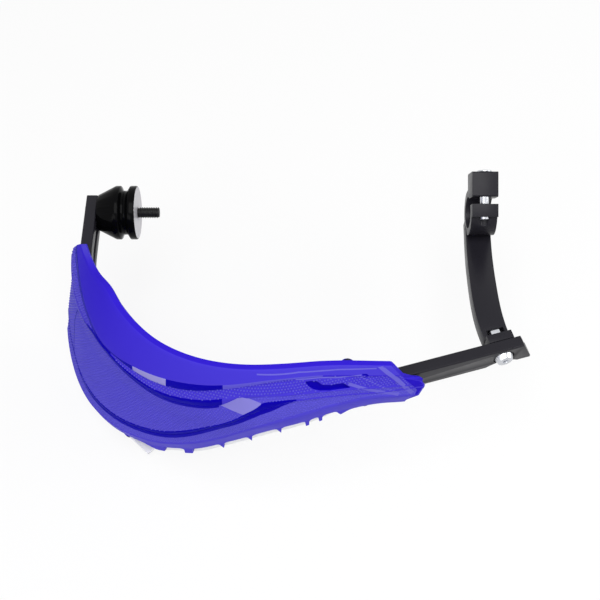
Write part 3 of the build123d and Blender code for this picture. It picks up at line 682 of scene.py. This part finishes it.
# Stretches of the upper ledge that are painted pale as highlights, and how pale. Elsewhere the upper ledge
# is painted deep shade, and a fainter shade further along the bar.
PALE_LEDGE = (((100.0, 124.0), 1.0), ((160.0, 222.0), 0.7))
ROOF_LEDGE_DEEP, ROOF_LEDGE_FADED = 0.0, 0.45
# Where along the bar each ledge is painted deep shade.
ROOF_DEEP_END, WING_DEEP_START, WING_DEEP_END, FOOT_DEEP_END = 160, 54, 160, 203
# Painted tones of the inside, the lower edge and the ends: the inside is painted darker as shade, the lower
# edge paler as light.
INSIDE_SHADE, EDGE_SHADE, END_SHADE = 0.3, 0.6, 0.4
# Along the bar the rim is painted paler and the roof darker near the outer end, for how the light falls
# there.
RIM_SHADE = ((-6, 0.6), (20, 0.55), (40, 0.34), (296, 0.32))
ROOF_SHADE = ((-6, 0.46), (20, 0.38), (55, 0.38), (95, 0.5), (296, 0.57))


def painted_shading_of(panel, s):
    """Painted light and shade of a face: deep shade on most ledges, highlights on parts of the upper one."""
    if panel == ROOF_LEDGE:
        for (start, end), value in PALE_LEDGE:
            if start <= s <= end:
                return value
        return ROOF_LEDGE_DEEP if s < ROOF_DEEP_END else ROOF_LEDGE_FADED
    if panel == WING_LEDGE and not WING_DEEP_START < s < WING_DEEP_END:
        return PANEL_SHADE[STRIP]
    if panel == FOOT_LEDGE and s > FOOT_DEEP_END:
        return PANEL_SHADE[STRIP]
    if panel == RIM:
        return along(RIM_SHADE, s)
    if panel == ROOF:
        return along(ROOF_SHADE, s)
    return PANEL_SHADE[panel]


print("shades for", len(PANEL_ROWS), "panels")

# %% The shell's mesh
# The surface map is flat: millimetres along the bar and down from a line above the rim.
UV_SCALE, UV_MARGIN_MM, UV_TOP_MM = 1 / 320.0, 10, 80
SKIN_SHARP_DEGREES = 55
shell_mesh = bpy.data.meshes.new("hand_shield_skin")
shape = bmesh.new()
painted_shading_layer = shape.faces.layers.float.new("shade")
dots_layer = shape.faces.layers.float.new("dotted")
uv_layer = shape.loops.layers.uv.new("surface")
outer = [[shape.verts.new(on_bar(*p)) for p in line] for line in grids[False]]
inner = [[shape.verts.new(on_bar(*p)) for p in line] for line in grids[True]]
# Each outside face gets the painted light and shade of its panel. The inside, the top, the lower edge and
# the ends get painted tones of their own.
for c in range(len(columns) - 1):
    for r in range(row_count - 1):
        face = shape.faces.new((outer[c][r], outer[c][r + 1], outer[c + 1][r + 1], outer[c + 1][r]))
        middle = (grids[False][c][r][0] + grids[False][c + 1][r + 1][0]) / 2
        panel = panel_of_face[r]
        face[painted_shading_layer] = painted_shading_of(panel, middle)
        face[dots_layer] = 1.0 if panel in DOTTED_PANELS else 0.0
        spots = ((c, r), (c, r + 1), (c + 1, r + 1), (c + 1, r))
        for loop, (i, j) in zip(face.loops, spots):
            s, _, z = grids[False][i][j]
            loop[uv_layer].uv = ((s + UV_MARGIN_MM) * UV_SCALE, (UV_TOP_MM - z) * UV_SCALE)
        face = shape.faces.new((inner[c][r], inner[c + 1][r], inner[c + 1][r + 1], inner[c][r + 1]))
        face[painted_shading_layer] = INSIDE_SHADE
    top = shape.faces.new((outer[c][0], outer[c + 1][0], inner[c + 1][0], inner[c][0]))
    top[painted_shading_layer] = INSIDE_SHADE
    low_edge = shape.faces.new((outer[c + 1][-1], outer[c][-1], inner[c][-1], inner[c + 1][-1]))
    low_edge[painted_shading_layer] = EDGE_SHADE
for c, flip in ((0, False), (len(columns) - 1, True)):
    for r in range(row_count - 1):
        ring = [outer[c][r + 1], outer[c][r], inner[c][r], inner[c][r + 1]]
        face = shape.faces.new(ring[::-1] if flip else ring)
        face[painted_shading_layer] = END_SHADE
for face in shape.faces:
    face.smooth = True
bmesh.ops.recalc_face_normals(shape, faces=shape.faces)
shape.to_mesh(shell_mesh)
shape.free()
shell_mesh.set_sharp_from_angle(angle=math.radians(SKIN_SHARP_DEGREES))
hand_shield = new_piece("hand_shield_skin", shell_mesh, blue_plastic)
print("shell skin:", len(shell_mesh.polygons), "faces")

# %% [markdown]
# ## Small forms on the shell
# The skin carries small forms, and light and shade are painted on them. A diamond where two ledges end,
# strips along the inner end, two thin lines and a row of ticks are painted pale, as highlights. Two lines
# on the wing, the nose at the inner end, a small hook and a band under each ledge are painted dark, as
# shade. Painted in the material alone they would have no edge to catch the light, so each is a ribbon
# between two lines of (distance along the bar, height) points. It stands a fraction of a millimetre proud
# of the skin and reaches a little below it, so no gap shows at its edge.

# %% Ribbons that follow the skin
RIBBON_STEP_MM, CORNER_DEGREES = 3.0, 40


def skin_out(s, z):
    """Distance of the finished outside from the bar's centre line, ledges included."""
    rows = outside_rows(s)[0]
    for (r0, z0), (r1, z1) in zip(rows, rows[1:]):
        if z0 >= z > z1:
            return r0 + (r1 - r0) * (z0 - z) / (z0 - z1)
    return rows[-1][0]


def ribbon(shape, first, second, proud_mm, sink_mm, shade, across=2):
    """Add a thin closed strip on the skin between two lines that have the same number of points."""
    pairs = [(Vector(first[0]), Vector(second[0]))]
    for a0, a1, b0, b1 in zip(first, first[1:], second, second[1:]):
        count = max(1, math.ceil(max(math.dist(a0, a1), math.dist(b0, b1)) / RIBBON_STEP_MM))
        for i in range(1, count + 1):
            t = i / count
            pairs.append((Vector(a0).lerp(Vector(a1), t), Vector(b0).lerp(Vector(b1), t)))
    sheets = []
    for lift in (proud_mm, -sink_mm):
        sheet = []
        for a, b in pairs:
            spots = [a.lerp(b, k / across) for k in range(across + 1)]
            sheet.append([shape.verts.new(on_bar(s, skin_out(s, z) + lift, z)) for s, z in spots])
        sheets.append(sheet)
    top, low = sheets
    faces = []
    for i in range(len(pairs) - 1):
        for k in range(across):
            faces.append((top[i][k], top[i + 1][k], top[i + 1][k + 1], top[i][k + 1]))
            faces.append((low[i][k], low[i][k + 1], low[i + 1][k + 1], low[i + 1][k]))
        faces.append((top[i + 1][0], top[i][0], low[i][0], low[i + 1][0]))
        faces.append((top[i][across], top[i + 1][across], low[i + 1][across], low[i][across]))
    for k in range(across):
        faces.append((top[0][k], top[0][k + 1], low[0][k + 1], low[0][k]))
        faces.append((top[-1][k + 1], top[-1][k], low[-1][k], low[-1][k + 1]))
    layer = shape.faces.layers.float.get("shade") or shape.faces.layers.float.new("shade")
    for corners in faces:
        shape.faces.new(corners)[layer] = shade


def mesh_of(shape, name):
    """Turn a bmesh into a smooth shaded mesh with outward normals and sharp corners."""
    bmesh.ops.recalc_face_normals(shape, faces=shape.faces)
    for face in shape.faces:
        face.smooth = True
    mesh = bpy.data.meshes.new(name)
    shape.to_mesh(mesh)
    shape.free()
    mesh.set_sharp_from_angle(angle=math.radians(CORNER_DEGREES))
    return mesh


# %% The diamond, the strips, the lines, the ticks and the bands
# Levels of painted light and shade for the marks: PALE and SOFT are painted highlights, DIM and DEEP painted
# shade.
PALE, SOFT, DIM, DEEP = 0.89, 0.77, 0.2, 0.02
# Each mark: its first line, its second line, how far it stands proud, and its level of painted light and
# shade.
MARKS = {
    "diamond": (
        ((159.3, 16.0), (170.5, 25.2), (183, 20.8)),
        ((159.3, 15.6), (172.5, 11.4), (183, 20.2)),
        0.20, PALE,
    ),
    "end_bevel": (
        ((257, 28.8), (267, 16), (277.5, -1)),
        ((260.6, 28.4), (269.8, 17), (279.9, 0.6)),
        0.15, SOFT,
    ),
    "rim_line": (
        ((181, 39.3), (208, 38), (232, 34), (256, 28.6)),
        ((181, 38.6), (208, 37.3), (232, 33.3), (256, 27.9)),
        0.12, SOFT,
    ),
    "roof_line": (
        ((205, 33.7), (220, 31.6), (232, 28.6), (246, 27)),
        ((205, 33), (220, 30.8), (232, 27.8), (246, 26.2)),
        0.12, SOFT,
    ),
    "wedge_strip": (
        ((238, 23.2), (251, 14.4), (270, 3.2)),
        ((236.8, 21.6), (249.8, 12.8), (268.8, 1.6)),
        0.15, SOFT,
    ),
    "wing_line": (
        ((31, -9.6), (39, 0.6), (50, 7), (61, 12.2)),
        ((31.8, -11), (39.8, -0.8), (50.7, 5.8), (61.3, 11.2)),
        0.06, DEEP,
    ),
    "wing_side": (
        ((30.6, -10), (28.8, -25), (32.8, -44), (38, -60)),
        ((31.8, -10), (30, -25), (34, -44), (39.2, -60)),
        0.06, DEEP,
    ),
    "nose": (
        ((272.8, 16), (278.6, 8), (282, 1.5), (279.4, -8)),
        ((273.6, 15.2), (283.4, 9.8), (286.6, 4.8), (280.6, -8)),
        0.1, DIM,
    ),
    "hook_top": (
        ((246.4, 27.2), (249.6, 26.4), (250.8, 24.6)),
        ((246.8, 26.2), (248.8, 25.6), (249.4, 24.8)),
        0.08, DEEP,
    ),
    "hook_end": (
        ((250.8, 24.6), (247.4, 23.6)),
        ((249.4, 24.8), (247, 22.4)),
        0.08, DEEP,
    ),
}
# A band of painted shade under each ledge: the ledge's upper edge, its height, the band's width along it,
# and where the band starts and ends.
BANDS = (
    (ROOF_EDGE, ROOF_STEP, ((4, 4.0), (30, 4.4), (60, 2.6), (82, 0.8)), 5.0, 81.0),
    (WING_CREST, WING_STEP, ((62, 0.3), (84, 1.4), (110, 2.6), (147, 2.6), (158, 1.8)), 63.0, 158.0),
    (WING_FOOT, FOOT_STEP,
     ((44, 0.4), (70, 2.2), (110, 3.2), (146, 3.8), (173, 4.0), (186, 3.4), (203, 0.3)), 45.0, 202.0),
)
BAND_STEPS, BAND_LAP, BAND_PROUD = 24, 0.3, 0.2
MARK_SINK = 0.6
TICK_COUNT, TICK_PROUD, TICK_SINK = 15, 0.15, 0.4
TICK_ROW = ((245.5, 25.0), (268.5, 4.6))
TICK_UPPER, TICK_LOWER = ((0, 0), (1.5, -0.2)), ((-0.5, -0.6), (1.0, -0.8))
shape = bmesh.new()
for first, second, proud_mm, shade in MARKS.values():
    ribbon(shape, first, second, proud_mm, MARK_SINK, shade)
for i in range(TICK_COUNT):
    s, z = Vector(TICK_ROW[0]).lerp(Vector(TICK_ROW[1]), i / (TICK_COUNT - 1))
    upper, lower = ([(s + a, z + b) for a, b in side] for side in (TICK_UPPER, TICK_LOWER))
    ribbon(shape, upper, lower, TICK_PROUD, TICK_SINK, SOFT, across=1)
for edge, step, width, start, end in BANDS:
    spots = [start + (end - start) * i / BAND_STEPS for i in range(BAND_STEPS + 1)]
    upper = [(s, along(edge, s) - along(step, s) + BAND_LAP) for s in spots]
    lower = [(s, z - along(width, s)) for s, z in upper]
    ribbon(shape, upper, lower, BAND_PROUD, MARK_SINK, DEEP, across=1)
shell_marks = new_piece("shell_marks", mesh_of(shape, "shell_marks"), blue_plastic)
finish_piece(shell_marks, "blue_plastic")

# %% [markdown]
# One form goes the other way: a shallow scoop below the roof's edge. A solid ribbon is cut out of the
# shell with a boolean, and the faces of the cut keep the painted deep shade that the ribbon carries.

# %% The scoop
SCOOP_TOP = ((211, 30.8), (214, 30.6), (218, 29.4), (221, 26.2), (226, 24.8), (234, 23.8), (238.2, 19.7))
SCOOP_LOW = ((210.8, 30.2), (212.4, 27.6), (215, 24.9), (219, 22.8), (225, 21.3), (233, 20), (237.4, 19.3))
SCOOP_DEPTH, CUTTER_PROUD, CUT_SHARP_DEGREES = 1.2, 3.0, 50
shape = bmesh.new()
ribbon(shape, SCOOP_TOP, SCOOP_LOW, CUTTER_PROUD, SCOOP_DEPTH, DEEP)
cutter = new_piece("scoop_cutter", mesh_of(shape, "scoop_cutter"), blue_plastic)
cut = hand_shield.modifiers.new("scoop", "BOOLEAN")
cut.operation = "DIFFERENCE"
cut.solver = "EXACT"
cut.object = cutter
shell_mesh = bake_modifiers(hand_shield)
shell_mesh.set_sharp_from_angle(angle=math.radians(CUT_SHARP_DEGREES))
bpy.data.objects.remove(cutter)
finish_piece(hand_shield, "blue_plastic", "hand_shield")

# %% [markdown]
# ## Dots
# The panels between the ledges are covered with raised dots, staggered like the cells of a honeycomb. A
# bump texture could fake them, but only real domes catch the light one by one. Geometry Nodes lays two
# grids in the flat space of the shell's surface map, half a step apart, looks up where each grid point
# lies on the shell, drops the points that aren't on a dotted panel or that touch one of the marks, and
# puts a small dome on every point that is left.

# %% A node group for the dots: two flat grids
# The domes are painted paler than the panels under them, a painted highlight on their tops.
DOT_PITCH_MM, DOT_RADIUS_MM, DOT_HEIGHT_MM, DOT_SHADE = 1.9, 0.66, 0.42, 0.70


def new_group(name, *sockets):
    """A geometry node tree with named inputs; returns the tree and its input node."""
    group = bpy.data.node_groups.new(name, "GeometryNodeTree")
    for label, kind in (("Geometry", "Geometry"), *sockets, ("Material", "Material")):
        group.interface.new_socket(label, in_out="INPUT", socket_type="NodeSocket" + kind)
    group.interface.new_socket("Geometry", in_out="OUTPUT", socket_type="NodeSocketGeometry")
    return group, add(group, "NodeGroupInput")


dots_group, given = new_group("moulded_dots", ("Pitch", "Float"), ("Radius", "Float"), ("Height", "Float"),
                              ("Clear of", "Object"))
source = given.outputs["Geometry"]
step = add(dots_group, "ShaderNodeMath", {"operation": "MULTIPLY"},
           {0: given.outputs["Pitch"], 1: UV_SCALE / MM})
rise = add(dots_group, "ShaderNodeMath", {"operation": "MULTIPLY"}, {0: step.outputs[0], 1: math.sqrt(3)})
across = add(dots_group, "ShaderNodeMath", {"operation": "DIVIDE"}, {0: 1.0, 1: step.outputs[0]})
down = add(dots_group, "ShaderNodeMath", {"operation": "DIVIDE"}, {0: 1.0, 1: rise.outputs[0]})
half_step, half_rise = (
    add(dots_group, "ShaderNodeMath", {"operation": "MULTIPLY_ADD"}, {0: node.outputs[0], 1: 0.5, 2: 0.5})
    for node in (step, rise))
shift = add(dots_group, "ShaderNodeCombineXYZ", None, {"X": half_step.outputs[0], "Y": half_rise.outputs[0]})
grid = add(dots_group, "GeometryNodeMeshGrid", None,
           {"Size X": 1.0, "Size Y": 1.0, "Vertices X": across.outputs[0], "Vertices Y": down.outputs[0]})
even = add(dots_group, "GeometryNodeTransform", None,
           {"Geometry": grid.outputs["Mesh"], "Translation": (0.5, 0.5, 0.0)})
odd = add(dots_group, "GeometryNodeTransform", None,
          {"Geometry": grid.outputs["Mesh"], "Translation": shift.outputs["Vector"]})
both = add(dots_group, "GeometryNodeJoinGeometry")
for part in (even, odd):
    dots_group.links.new(part.outputs["Geometry"], both.inputs["Geometry"])
place = add(dots_group, "GeometryNodeInputPosition")
kept = add(dots_group, "GeometryNodeStoreNamedAttribute", {"data_type": "FLOAT_VECTOR", "domain": "POINT"},
           {"Geometry": both.outputs["Geometry"], "Name": "flat_place", "Value": place.outputs["Position"]})
print("dots group:", len(dots_group.nodes), "nodes lay the grids")

# %% Where the grid points lie on the shell
flat, chart, mask = (
    add(dots_group, "GeometryNodeInputNamedAttribute", {"data_type": kind}, {"Name": name})
    for name, kind in (("flat_place", "FLOAT_VECTOR"), ("surface", "FLOAT_VECTOR"), ("dotted", "FLOAT")))
normal = add(dots_group, "GeometryNodeInputNormal")


def look_up(kind, value):
    """Read a value of the shell at the flat place of each grid point."""
    node = add(dots_group, "GeometryNodeSampleUVSurface", {"data_type": kind},
               {"Mesh": source, "Value": value})
    dots_group.links.new(chart.outputs["Attribute"], node.inputs[2])
    dots_group.links.new(flat.outputs["Attribute"], node.inputs[3])
    return node


dotted = look_up("FLOAT", mask.outputs["Attribute"])
chosen = add(dots_group, "FunctionNodeCompare", {"data_type": "FLOAT", "operation": "GREATER_THAN"},
             {0: dotted.outputs["Value"], 1: 0.5})
points = add(dots_group, "GeometryNodeSeparateGeometry", {"domain": "POINT"},
             {"Geometry": kept.outputs["Geometry"], "Selection": chosen.outputs["Result"]})
on_skin = add(dots_group, "GeometryNodeSetPosition", None,
              {"Geometry": points.outputs["Selection"],
               "Position": look_up("FLOAT_VECTOR", place.outputs["Position"]).outputs["Value"]})
marks = add(dots_group, "GeometryNodeObjectInfo", None, {"Object": given.outputs["Clear of"]})
nearest = add(dots_group, "GeometryNodeProximity", {"target_element": "FACES"},
              {0: marks.outputs["Geometry"]})
apart = add(dots_group, "FunctionNodeCompare", {"data_type": "FLOAT", "operation": "GREATER_THAN"},
            {0: nearest.outputs["Distance"], 1: given.outputs["Radius"]})
free = add(dots_group, "GeometryNodeSeparateGeometry", {"domain": "POINT"},
           {"Geometry": on_skin.outputs["Geometry"], "Selection": apart.outputs["Result"]})
print("dots group:", len(dots_group.nodes), "nodes with those that choose the points")

# %% A dome on every point
upright = add(dots_group, "FunctionNodeAlignRotationToVector", {"axis": "Z"},
              {"Vector": look_up("FLOAT_VECTOR", normal.outputs["Normal"]).outputs["Value"]})
ball = add(dots_group, "GeometryNodeMeshIcoSphere", None, {"Radius": 1.0, "Subdivisions": 1})
size = add(dots_group, "ShaderNodeCombineXYZ", None,
           {"X": given.outputs["Radius"], "Y": given.outputs["Radius"], "Z": given.outputs["Height"]})
dome = add(dots_group, "GeometryNodeTransform", None,
           {"Geometry": ball.outputs["Mesh"], "Scale": size.outputs["Vector"]})
placed = add(dots_group, "GeometryNodeInstanceOnPoints", None,
             {"Points": free.outputs["Selection"], "Instance": dome.outputs["Geometry"],
              "Rotation": upright.outputs["Rotation"]})
real = add(dots_group, "GeometryNodeRealizeInstances", None, {"Geometry": placed.outputs["Instances"]})
# Each dome carries DOT_SHADE, a painted highlight.
tinted = add(dots_group, "GeometryNodeStoreNamedAttribute", {"data_type": "FLOAT", "domain": "FACE"},
             {"Geometry": real.outputs["Geometry"], "Name": "shade", "Value": DOT_SHADE})
coated = add(dots_group, "GeometryNodeSetMaterial", None,
             {"Geometry": tinted.outputs["Geometry"], "Material": given.outputs["Material"]})
add(dots_group, "NodeGroupOutput", None, {"Geometry": coated.outputs["Geometry"]})
print("dots group:", len(dots_group.nodes), "nodes")


def run_group(piece, group, values):
    """Put a node group on a piece, set its named inputs, and turn the result into a plain mesh."""
    modifier = piece.modifiers.new(group.name, "NODES")
    modifier.node_group = group
    names = {item.name: item.identifier for item in group.interface.items_tree if item.in_out == "INPUT"}
    for name, value in values.items():
        modifier[names[name]] = value
    return bake_modifiers(piece)


# %% The dots themselves
shell_dots = new_piece("shell_dots", shell_mesh.copy(), None)
run_group(shell_dots, dots_group, {
    "Pitch": DOT_PITCH_MM * MM, "Radius": DOT_RADIUS_MM * MM, "Height": DOT_HEIGHT_MM * MM,
    "Clear of": shell_marks, "Material": blue_plastic})
for face in shell_dots.data.polygons:
    face.use_smooth = True
finish_piece(shell_dots, "blue_plastic")

# %% [markdown]
# ## Saddles and boss behind the shell
# Behind the shell two saddles sit on the bar's upper edge, each with a round screw boss, and a third boss
# takes the white panel's outer screw. In the CAD model they belong to the shell's node, which the new
# skin hides, so they are built again here, as prisms and tubes of the same plastic.

# %% Saddles and boss
SADDLES = (112.0, 241.0)
SCREW_OUT, SADDLE_LOW, SADDLE_TOP, SADDLE_HALF = -9.5, -9.4, 19.0, 4.5
SADDLE_SIDE = ((SCREW_OUT, 10.0), (6.2, 10.0), (6.2, 12.0), (0.8, SADDLE_TOP), (SCREW_OUT, SADDLE_TOP))
BOSS_AT, BOSS_DROP, BOSS_IN, BOSS_LENGTH = 91.5, 5.0, 5.8, 19.0
boss_bottom = along(BOTTOM_LINE, BOSS_AT)
boss_low = boss_bottom - BOSS_DROP
boss_out = shell_out(BOSS_AT, boss_bottom) - along(BOTTOM_TUCK, BOSS_AT) - BOSS_IN
# Each tube: the radius outside and the radius of its hole.
SADDLE_TUBE, BOSS_TUBE = (5.2, 2.7), (5.0, 1.9)
# The saddles and the boss are painted a darker tone than the panels, as shade behind the shell.
TUBE_SIDES, SADDLE_SHADE, AHEAD_MM = 40, 0.4, 0.5


def heading(s):
    """Direction along the bar at the distance s."""
    return (on_bar(s + AHEAD_MM, 0, 0) - on_bar(s - AHEAD_MM, 0, 0)).normalized()


def prism(shape, s, side, half_mm):
    """Add a block with one side shape across the bar."""
    ends = []
    for shift in (-half_mm, half_mm):
        ends.append([shape.verts.new(on_bar(s, r, z) + heading(s) * shift * MM) for r, z in side])
    shape.faces.new(ends[0])
    shape.faces.new(ends[1][::-1])
    for i in range(len(side)):
        j = (i + 1) % len(side)
        shape.faces.new((ends[0][j], ends[0][i], ends[1][i], ends[1][j]))


def angles(sides):
    """The angles of the corners of a ring."""
    return [2 * math.pi * i / sides for i in range(sides)]


def close_rings(shape, rings):
    """Join rings of points with faces, each to the next one and the last to the first."""
    for ring, after in zip(rings, rings[1:] + rings[:1]):
        for i in range(len(ring)):
            j = (i + 1) % len(ring)
            shape.faces.new((ring[i], ring[j], after[j], after[i]))


def tube(shape, s, out_mm, low_mm, high_mm, radius_mm, hole_mm):
    """Add an upright tube beside the bar."""
    rings = []
    for radius, z in ((radius_mm, low_mm), (radius_mm, high_mm), (hole_mm, high_mm), (hole_mm, low_mm)):
        middle = on_bar(s, out_mm, z)
        rings.append([shape.verts.new(middle + Vector((math.cos(a), math.sin(a), 0)) * radius * MM)
                      for a in angles(TUBE_SIDES)])
    close_rings(shape, rings)


shape = bmesh.new()
for s in SADDLES:
    prism(shape, s, SADDLE_SIDE, SADDLE_HALF)
    tube(shape, s, SCREW_OUT, SADDLE_LOW, SADDLE_TOP, *SADDLE_TUBE)
tube(shape, BOSS_AT, boss_out, boss_low, boss_low + BOSS_LENGTH, *BOSS_TUBE)
# Their faces all carry the same painted shade.
layer = shape.faces.layers.float.new("shade")
for face in shape.faces:
    face[layer] = SADDLE_SHADE
shell_saddles = new_piece("shell_saddles", mesh_of(shape, "shell_saddles"), blue_plastic)
finish_piece(shell_saddles, "blue_plastic")

# %% [markdown]
# ## Dressed CAD pieces
# The other pieces have the right shapes already. A copy of each gets its edges rounded and its own
# material.

# %% Bar, arm, clamp and bar end
anodised = black_metals["black_anodised_aluminium"]
turned_black = black_metals["turned_black_aluminium"]
oxide_steel = black_metals["black_oxide_steel"]
for node, slot, material, edge_mm in (
    ("guard_bar", "black_anodised", anodised, 0.35),
    ("link_arm", "black_anodised", anodised, 0.5),
    ("clamp_jaw", "black_anodised", anodised, 0.5),
    ("end_cone", "black_gloss", turned_black, 0.4),
    ("end_flange", "black_gloss", turned_black, 0.4),
    ("vent_panel", "white_plastic", white_plastic, 0.4),
    ("bar_straps", "black_plastic", black_metals["moulded_black_nylon"], 0.4),
    ("saddle_screws", "black_steel", oxide_steel, 0.3),
    ("saddle_nuts", "black_steel", oxide_steel, 0.3),
    ("panel_screws", "black_steel", oxide_steel, 0.3),
    ("clamp_screw", "zinc_steel", zinc_steel, 0.3),
    ("pivot_bolt", "zinc_steel", zinc_steel, 0.3),
    ("pivot_nut", "zinc_steel", zinc_steel, 0.3),
):
    finish_piece(dressed_copy(node, node + "_dressed", material, edge_mm), slot, node)

# %% [markdown]
# ## The stud's thread
# The bolt's free end is an M8 thread. A texture could draw it, but the stud is seen from the side, and
# only a real ridge shows in its outline. So the copy of the CAD bolt is turned down to the root of the
# thread there, and Geometry Nodes winds a three-sided ridge round it: a spiral curve with a small
# triangle swept along it.

# %% The bolt, turned down
# The bolt is turned down from just inside the flange on.
THREAD_ROOT_MM, TURNED_FROM_MM, BOLT_EDGE_MM = 3.23, -0.5, 0.2
end_bolt = dressed_copy("end_bolt", "end_bolt_dressed", oxide_steel, BOLT_EDGE_MM)
for vertex in end_bolt.data.vertices:
    radius = math.hypot(vertex.co.y, vertex.co.z) / MM
    if vertex.co.x > TURNED_FROM_MM * MM and radius > THREAD_ROOT_MM:
        vertex.co.y *= THREAD_ROOT_MM / radius
        vertex.co.z *= THREAD_ROOT_MM / radius
finish_piece(end_bolt, "black_steel", "end_bolt")

# %% The thread
THREAD_TOP_MM, THREAD_PITCH_MM, THREAD_START_MM, THREAD_END_MM = 4.0, 1.25, 1.2, 14.6
# The ridge reaches a little below the root.
RIDGE_SHARE, TURN_STEPS, RIDGE_SIDES = 0.75, 32, 3
thread_group, given = new_group("wound_thread", ("Radius", "Float"), ("Pitch", "Float"), ("Start", "Float"),
                                ("Length", "Float"), ("Ridge", "Float"))
turns = add(thread_group, "ShaderNodeMath", {"operation": "DIVIDE"},
            {0: given.outputs["Length"], 1: given.outputs["Pitch"]})
wire = add(thread_group, "GeometryNodeCurveSpiral", None,
           {"Resolution": TURN_STEPS, "Rotations": turns.outputs[0], "Start Radius": given.outputs["Radius"],
            "End Radius": given.outputs["Radius"], "Height": given.outputs["Length"]})
ridge = add(thread_group, "GeometryNodeCurvePrimitiveCircle", None,
            {"Resolution": RIDGE_SIDES, "Radius": given.outputs["Ridge"]})
outward = add(thread_group, "GeometryNodeTransform", None,
              {"Geometry": ridge.outputs["Curve"], "Rotation": (0, 0, math.pi)})
steady = add(thread_group, "GeometryNodeSetCurveNormal", {"mode": "Z_UP"}, {"Curve": wire.outputs["Curve"]})
swept = add(thread_group, "GeometryNodeCurveToMesh", None,
            {"Curve": steady.outputs["Curve"], "Profile Curve": outward.outputs["Geometry"],
             "Fill Caps": True})
start = add(thread_group, "ShaderNodeCombineXYZ", None, {"X": given.outputs["Start"]})
turned = add(thread_group, "GeometryNodeTransform", None,
             {"Geometry": swept.outputs["Mesh"], "Translation": start.outputs["Vector"],
              "Rotation": (0, math.radians(90), 0)})
real = add(thread_group, "GeometryNodeRealizeInstances", None, {"Geometry": turned.outputs["Geometry"]})
coated = add(thread_group, "GeometryNodeSetMaterial", None,
             {"Geometry": real.outputs["Geometry"], "Material": given.outputs["Material"]})
add(thread_group, "NodeGroupOutput", None, {"Geometry": coated.outputs["Geometry"]})
ridge_mm = (THREAD_TOP_MM - THREAD_ROOT_MM) * RIDGE_SHARE
stud_thread = new_piece("stud_thread", bpy.data.meshes.new("stud_thread"), None)
run_group(stud_thread, thread_group, {
    "Radius": (THREAD_TOP_MM - ridge_mm) * MM, "Pitch": THREAD_PITCH_MM * MM,
    "Start": THREAD_START_MM * MM, "Length": (THREAD_END_MM - THREAD_START_MM) * MM,
    "Ridge": ridge_mm * MM, "Material": oxide_steel})
finish_piece(stud_thread, "black_steel")

# %% [markdown]
# ## The flange's bare face
# The face that meets the handlebar is turned bare after the black finish, so it is light grey with faint
# rings. The CAD flange is one solid with one finish, so the bare face is a thin ring of its own that
# stands a few hundredths of a millimetre proud of it. Real turning marks are too fine to show, so the
# rings are drawn far apart.

# %% Machined face
# At scale 1 a wave texture counts this many radians to a metre. One radian of the rings is RADIAN_MM
# wide.
WAVE_RADIANS, RADIAN_MM = 20, 1.4
bare_metal, tree, out = new_material("turned_bare_aluminium")
coords = add(tree, "ShaderNodeTexCoord")
rings = add(tree, "ShaderNodeTexWave", {"wave_type": "RINGS", "rings_direction": "X", "wave_profile": "SIN"},
            {"Vector": coords.outputs["Object"], "Scale": 1 / (RADIAN_MM * MM * WAVE_RADIANS),
             "Distortion": 0.4, "Detail": 2.0})
rough = add(tree, "ShaderNodeMapRange", None,
            {"Value": rings.outputs["Fac"], "From Min": 0.0, "From Max": 1.0, "To Min": 0.42, "To Max": 0.5})
skin = add(tree, "ShaderNodeBsdfPrincipled", None,
           {"Base Color": linear("#C4C3C7"), "Metallic": 0.55, "Roughness": rough.outputs["Result"]})
tree.links.new(skin.outputs["BSDF"], out.inputs["Surface"])
FACE_OUTER_MM, FACE_HOLE_MM, FACE_FRONT_MM, FACE_BACK_MM, FACE_SIDES = 18.2, 4.0, 0.04, -0.3, 64
shape = bmesh.new()
loops = []
for x, radius in ((FACE_FRONT_MM, FACE_HOLE_MM), (FACE_FRONT_MM, FACE_OUTER_MM),
                  (FACE_BACK_MM, FACE_OUTER_MM), (FACE_BACK_MM, FACE_HOLE_MM)):
    loops.append([shape.verts.new(Vector((x, radius * math.cos(a), radius * math.sin(a))) * MM)
                  for a in angles(FACE_SIDES)])
close_rings(shape, loops)
flange_face = new_piece("flange_face", mesh_of(shape, "flange_face"), bare_metal)
finish_piece(flange_face, "zinc_steel")

# %% [markdown]
# ## The CAD model's box
# The script ends with the size of the CAD model.

# %% Write the CAD model's box
print("cad box", [[round(c, 4) for c in p] for p in cad_box])
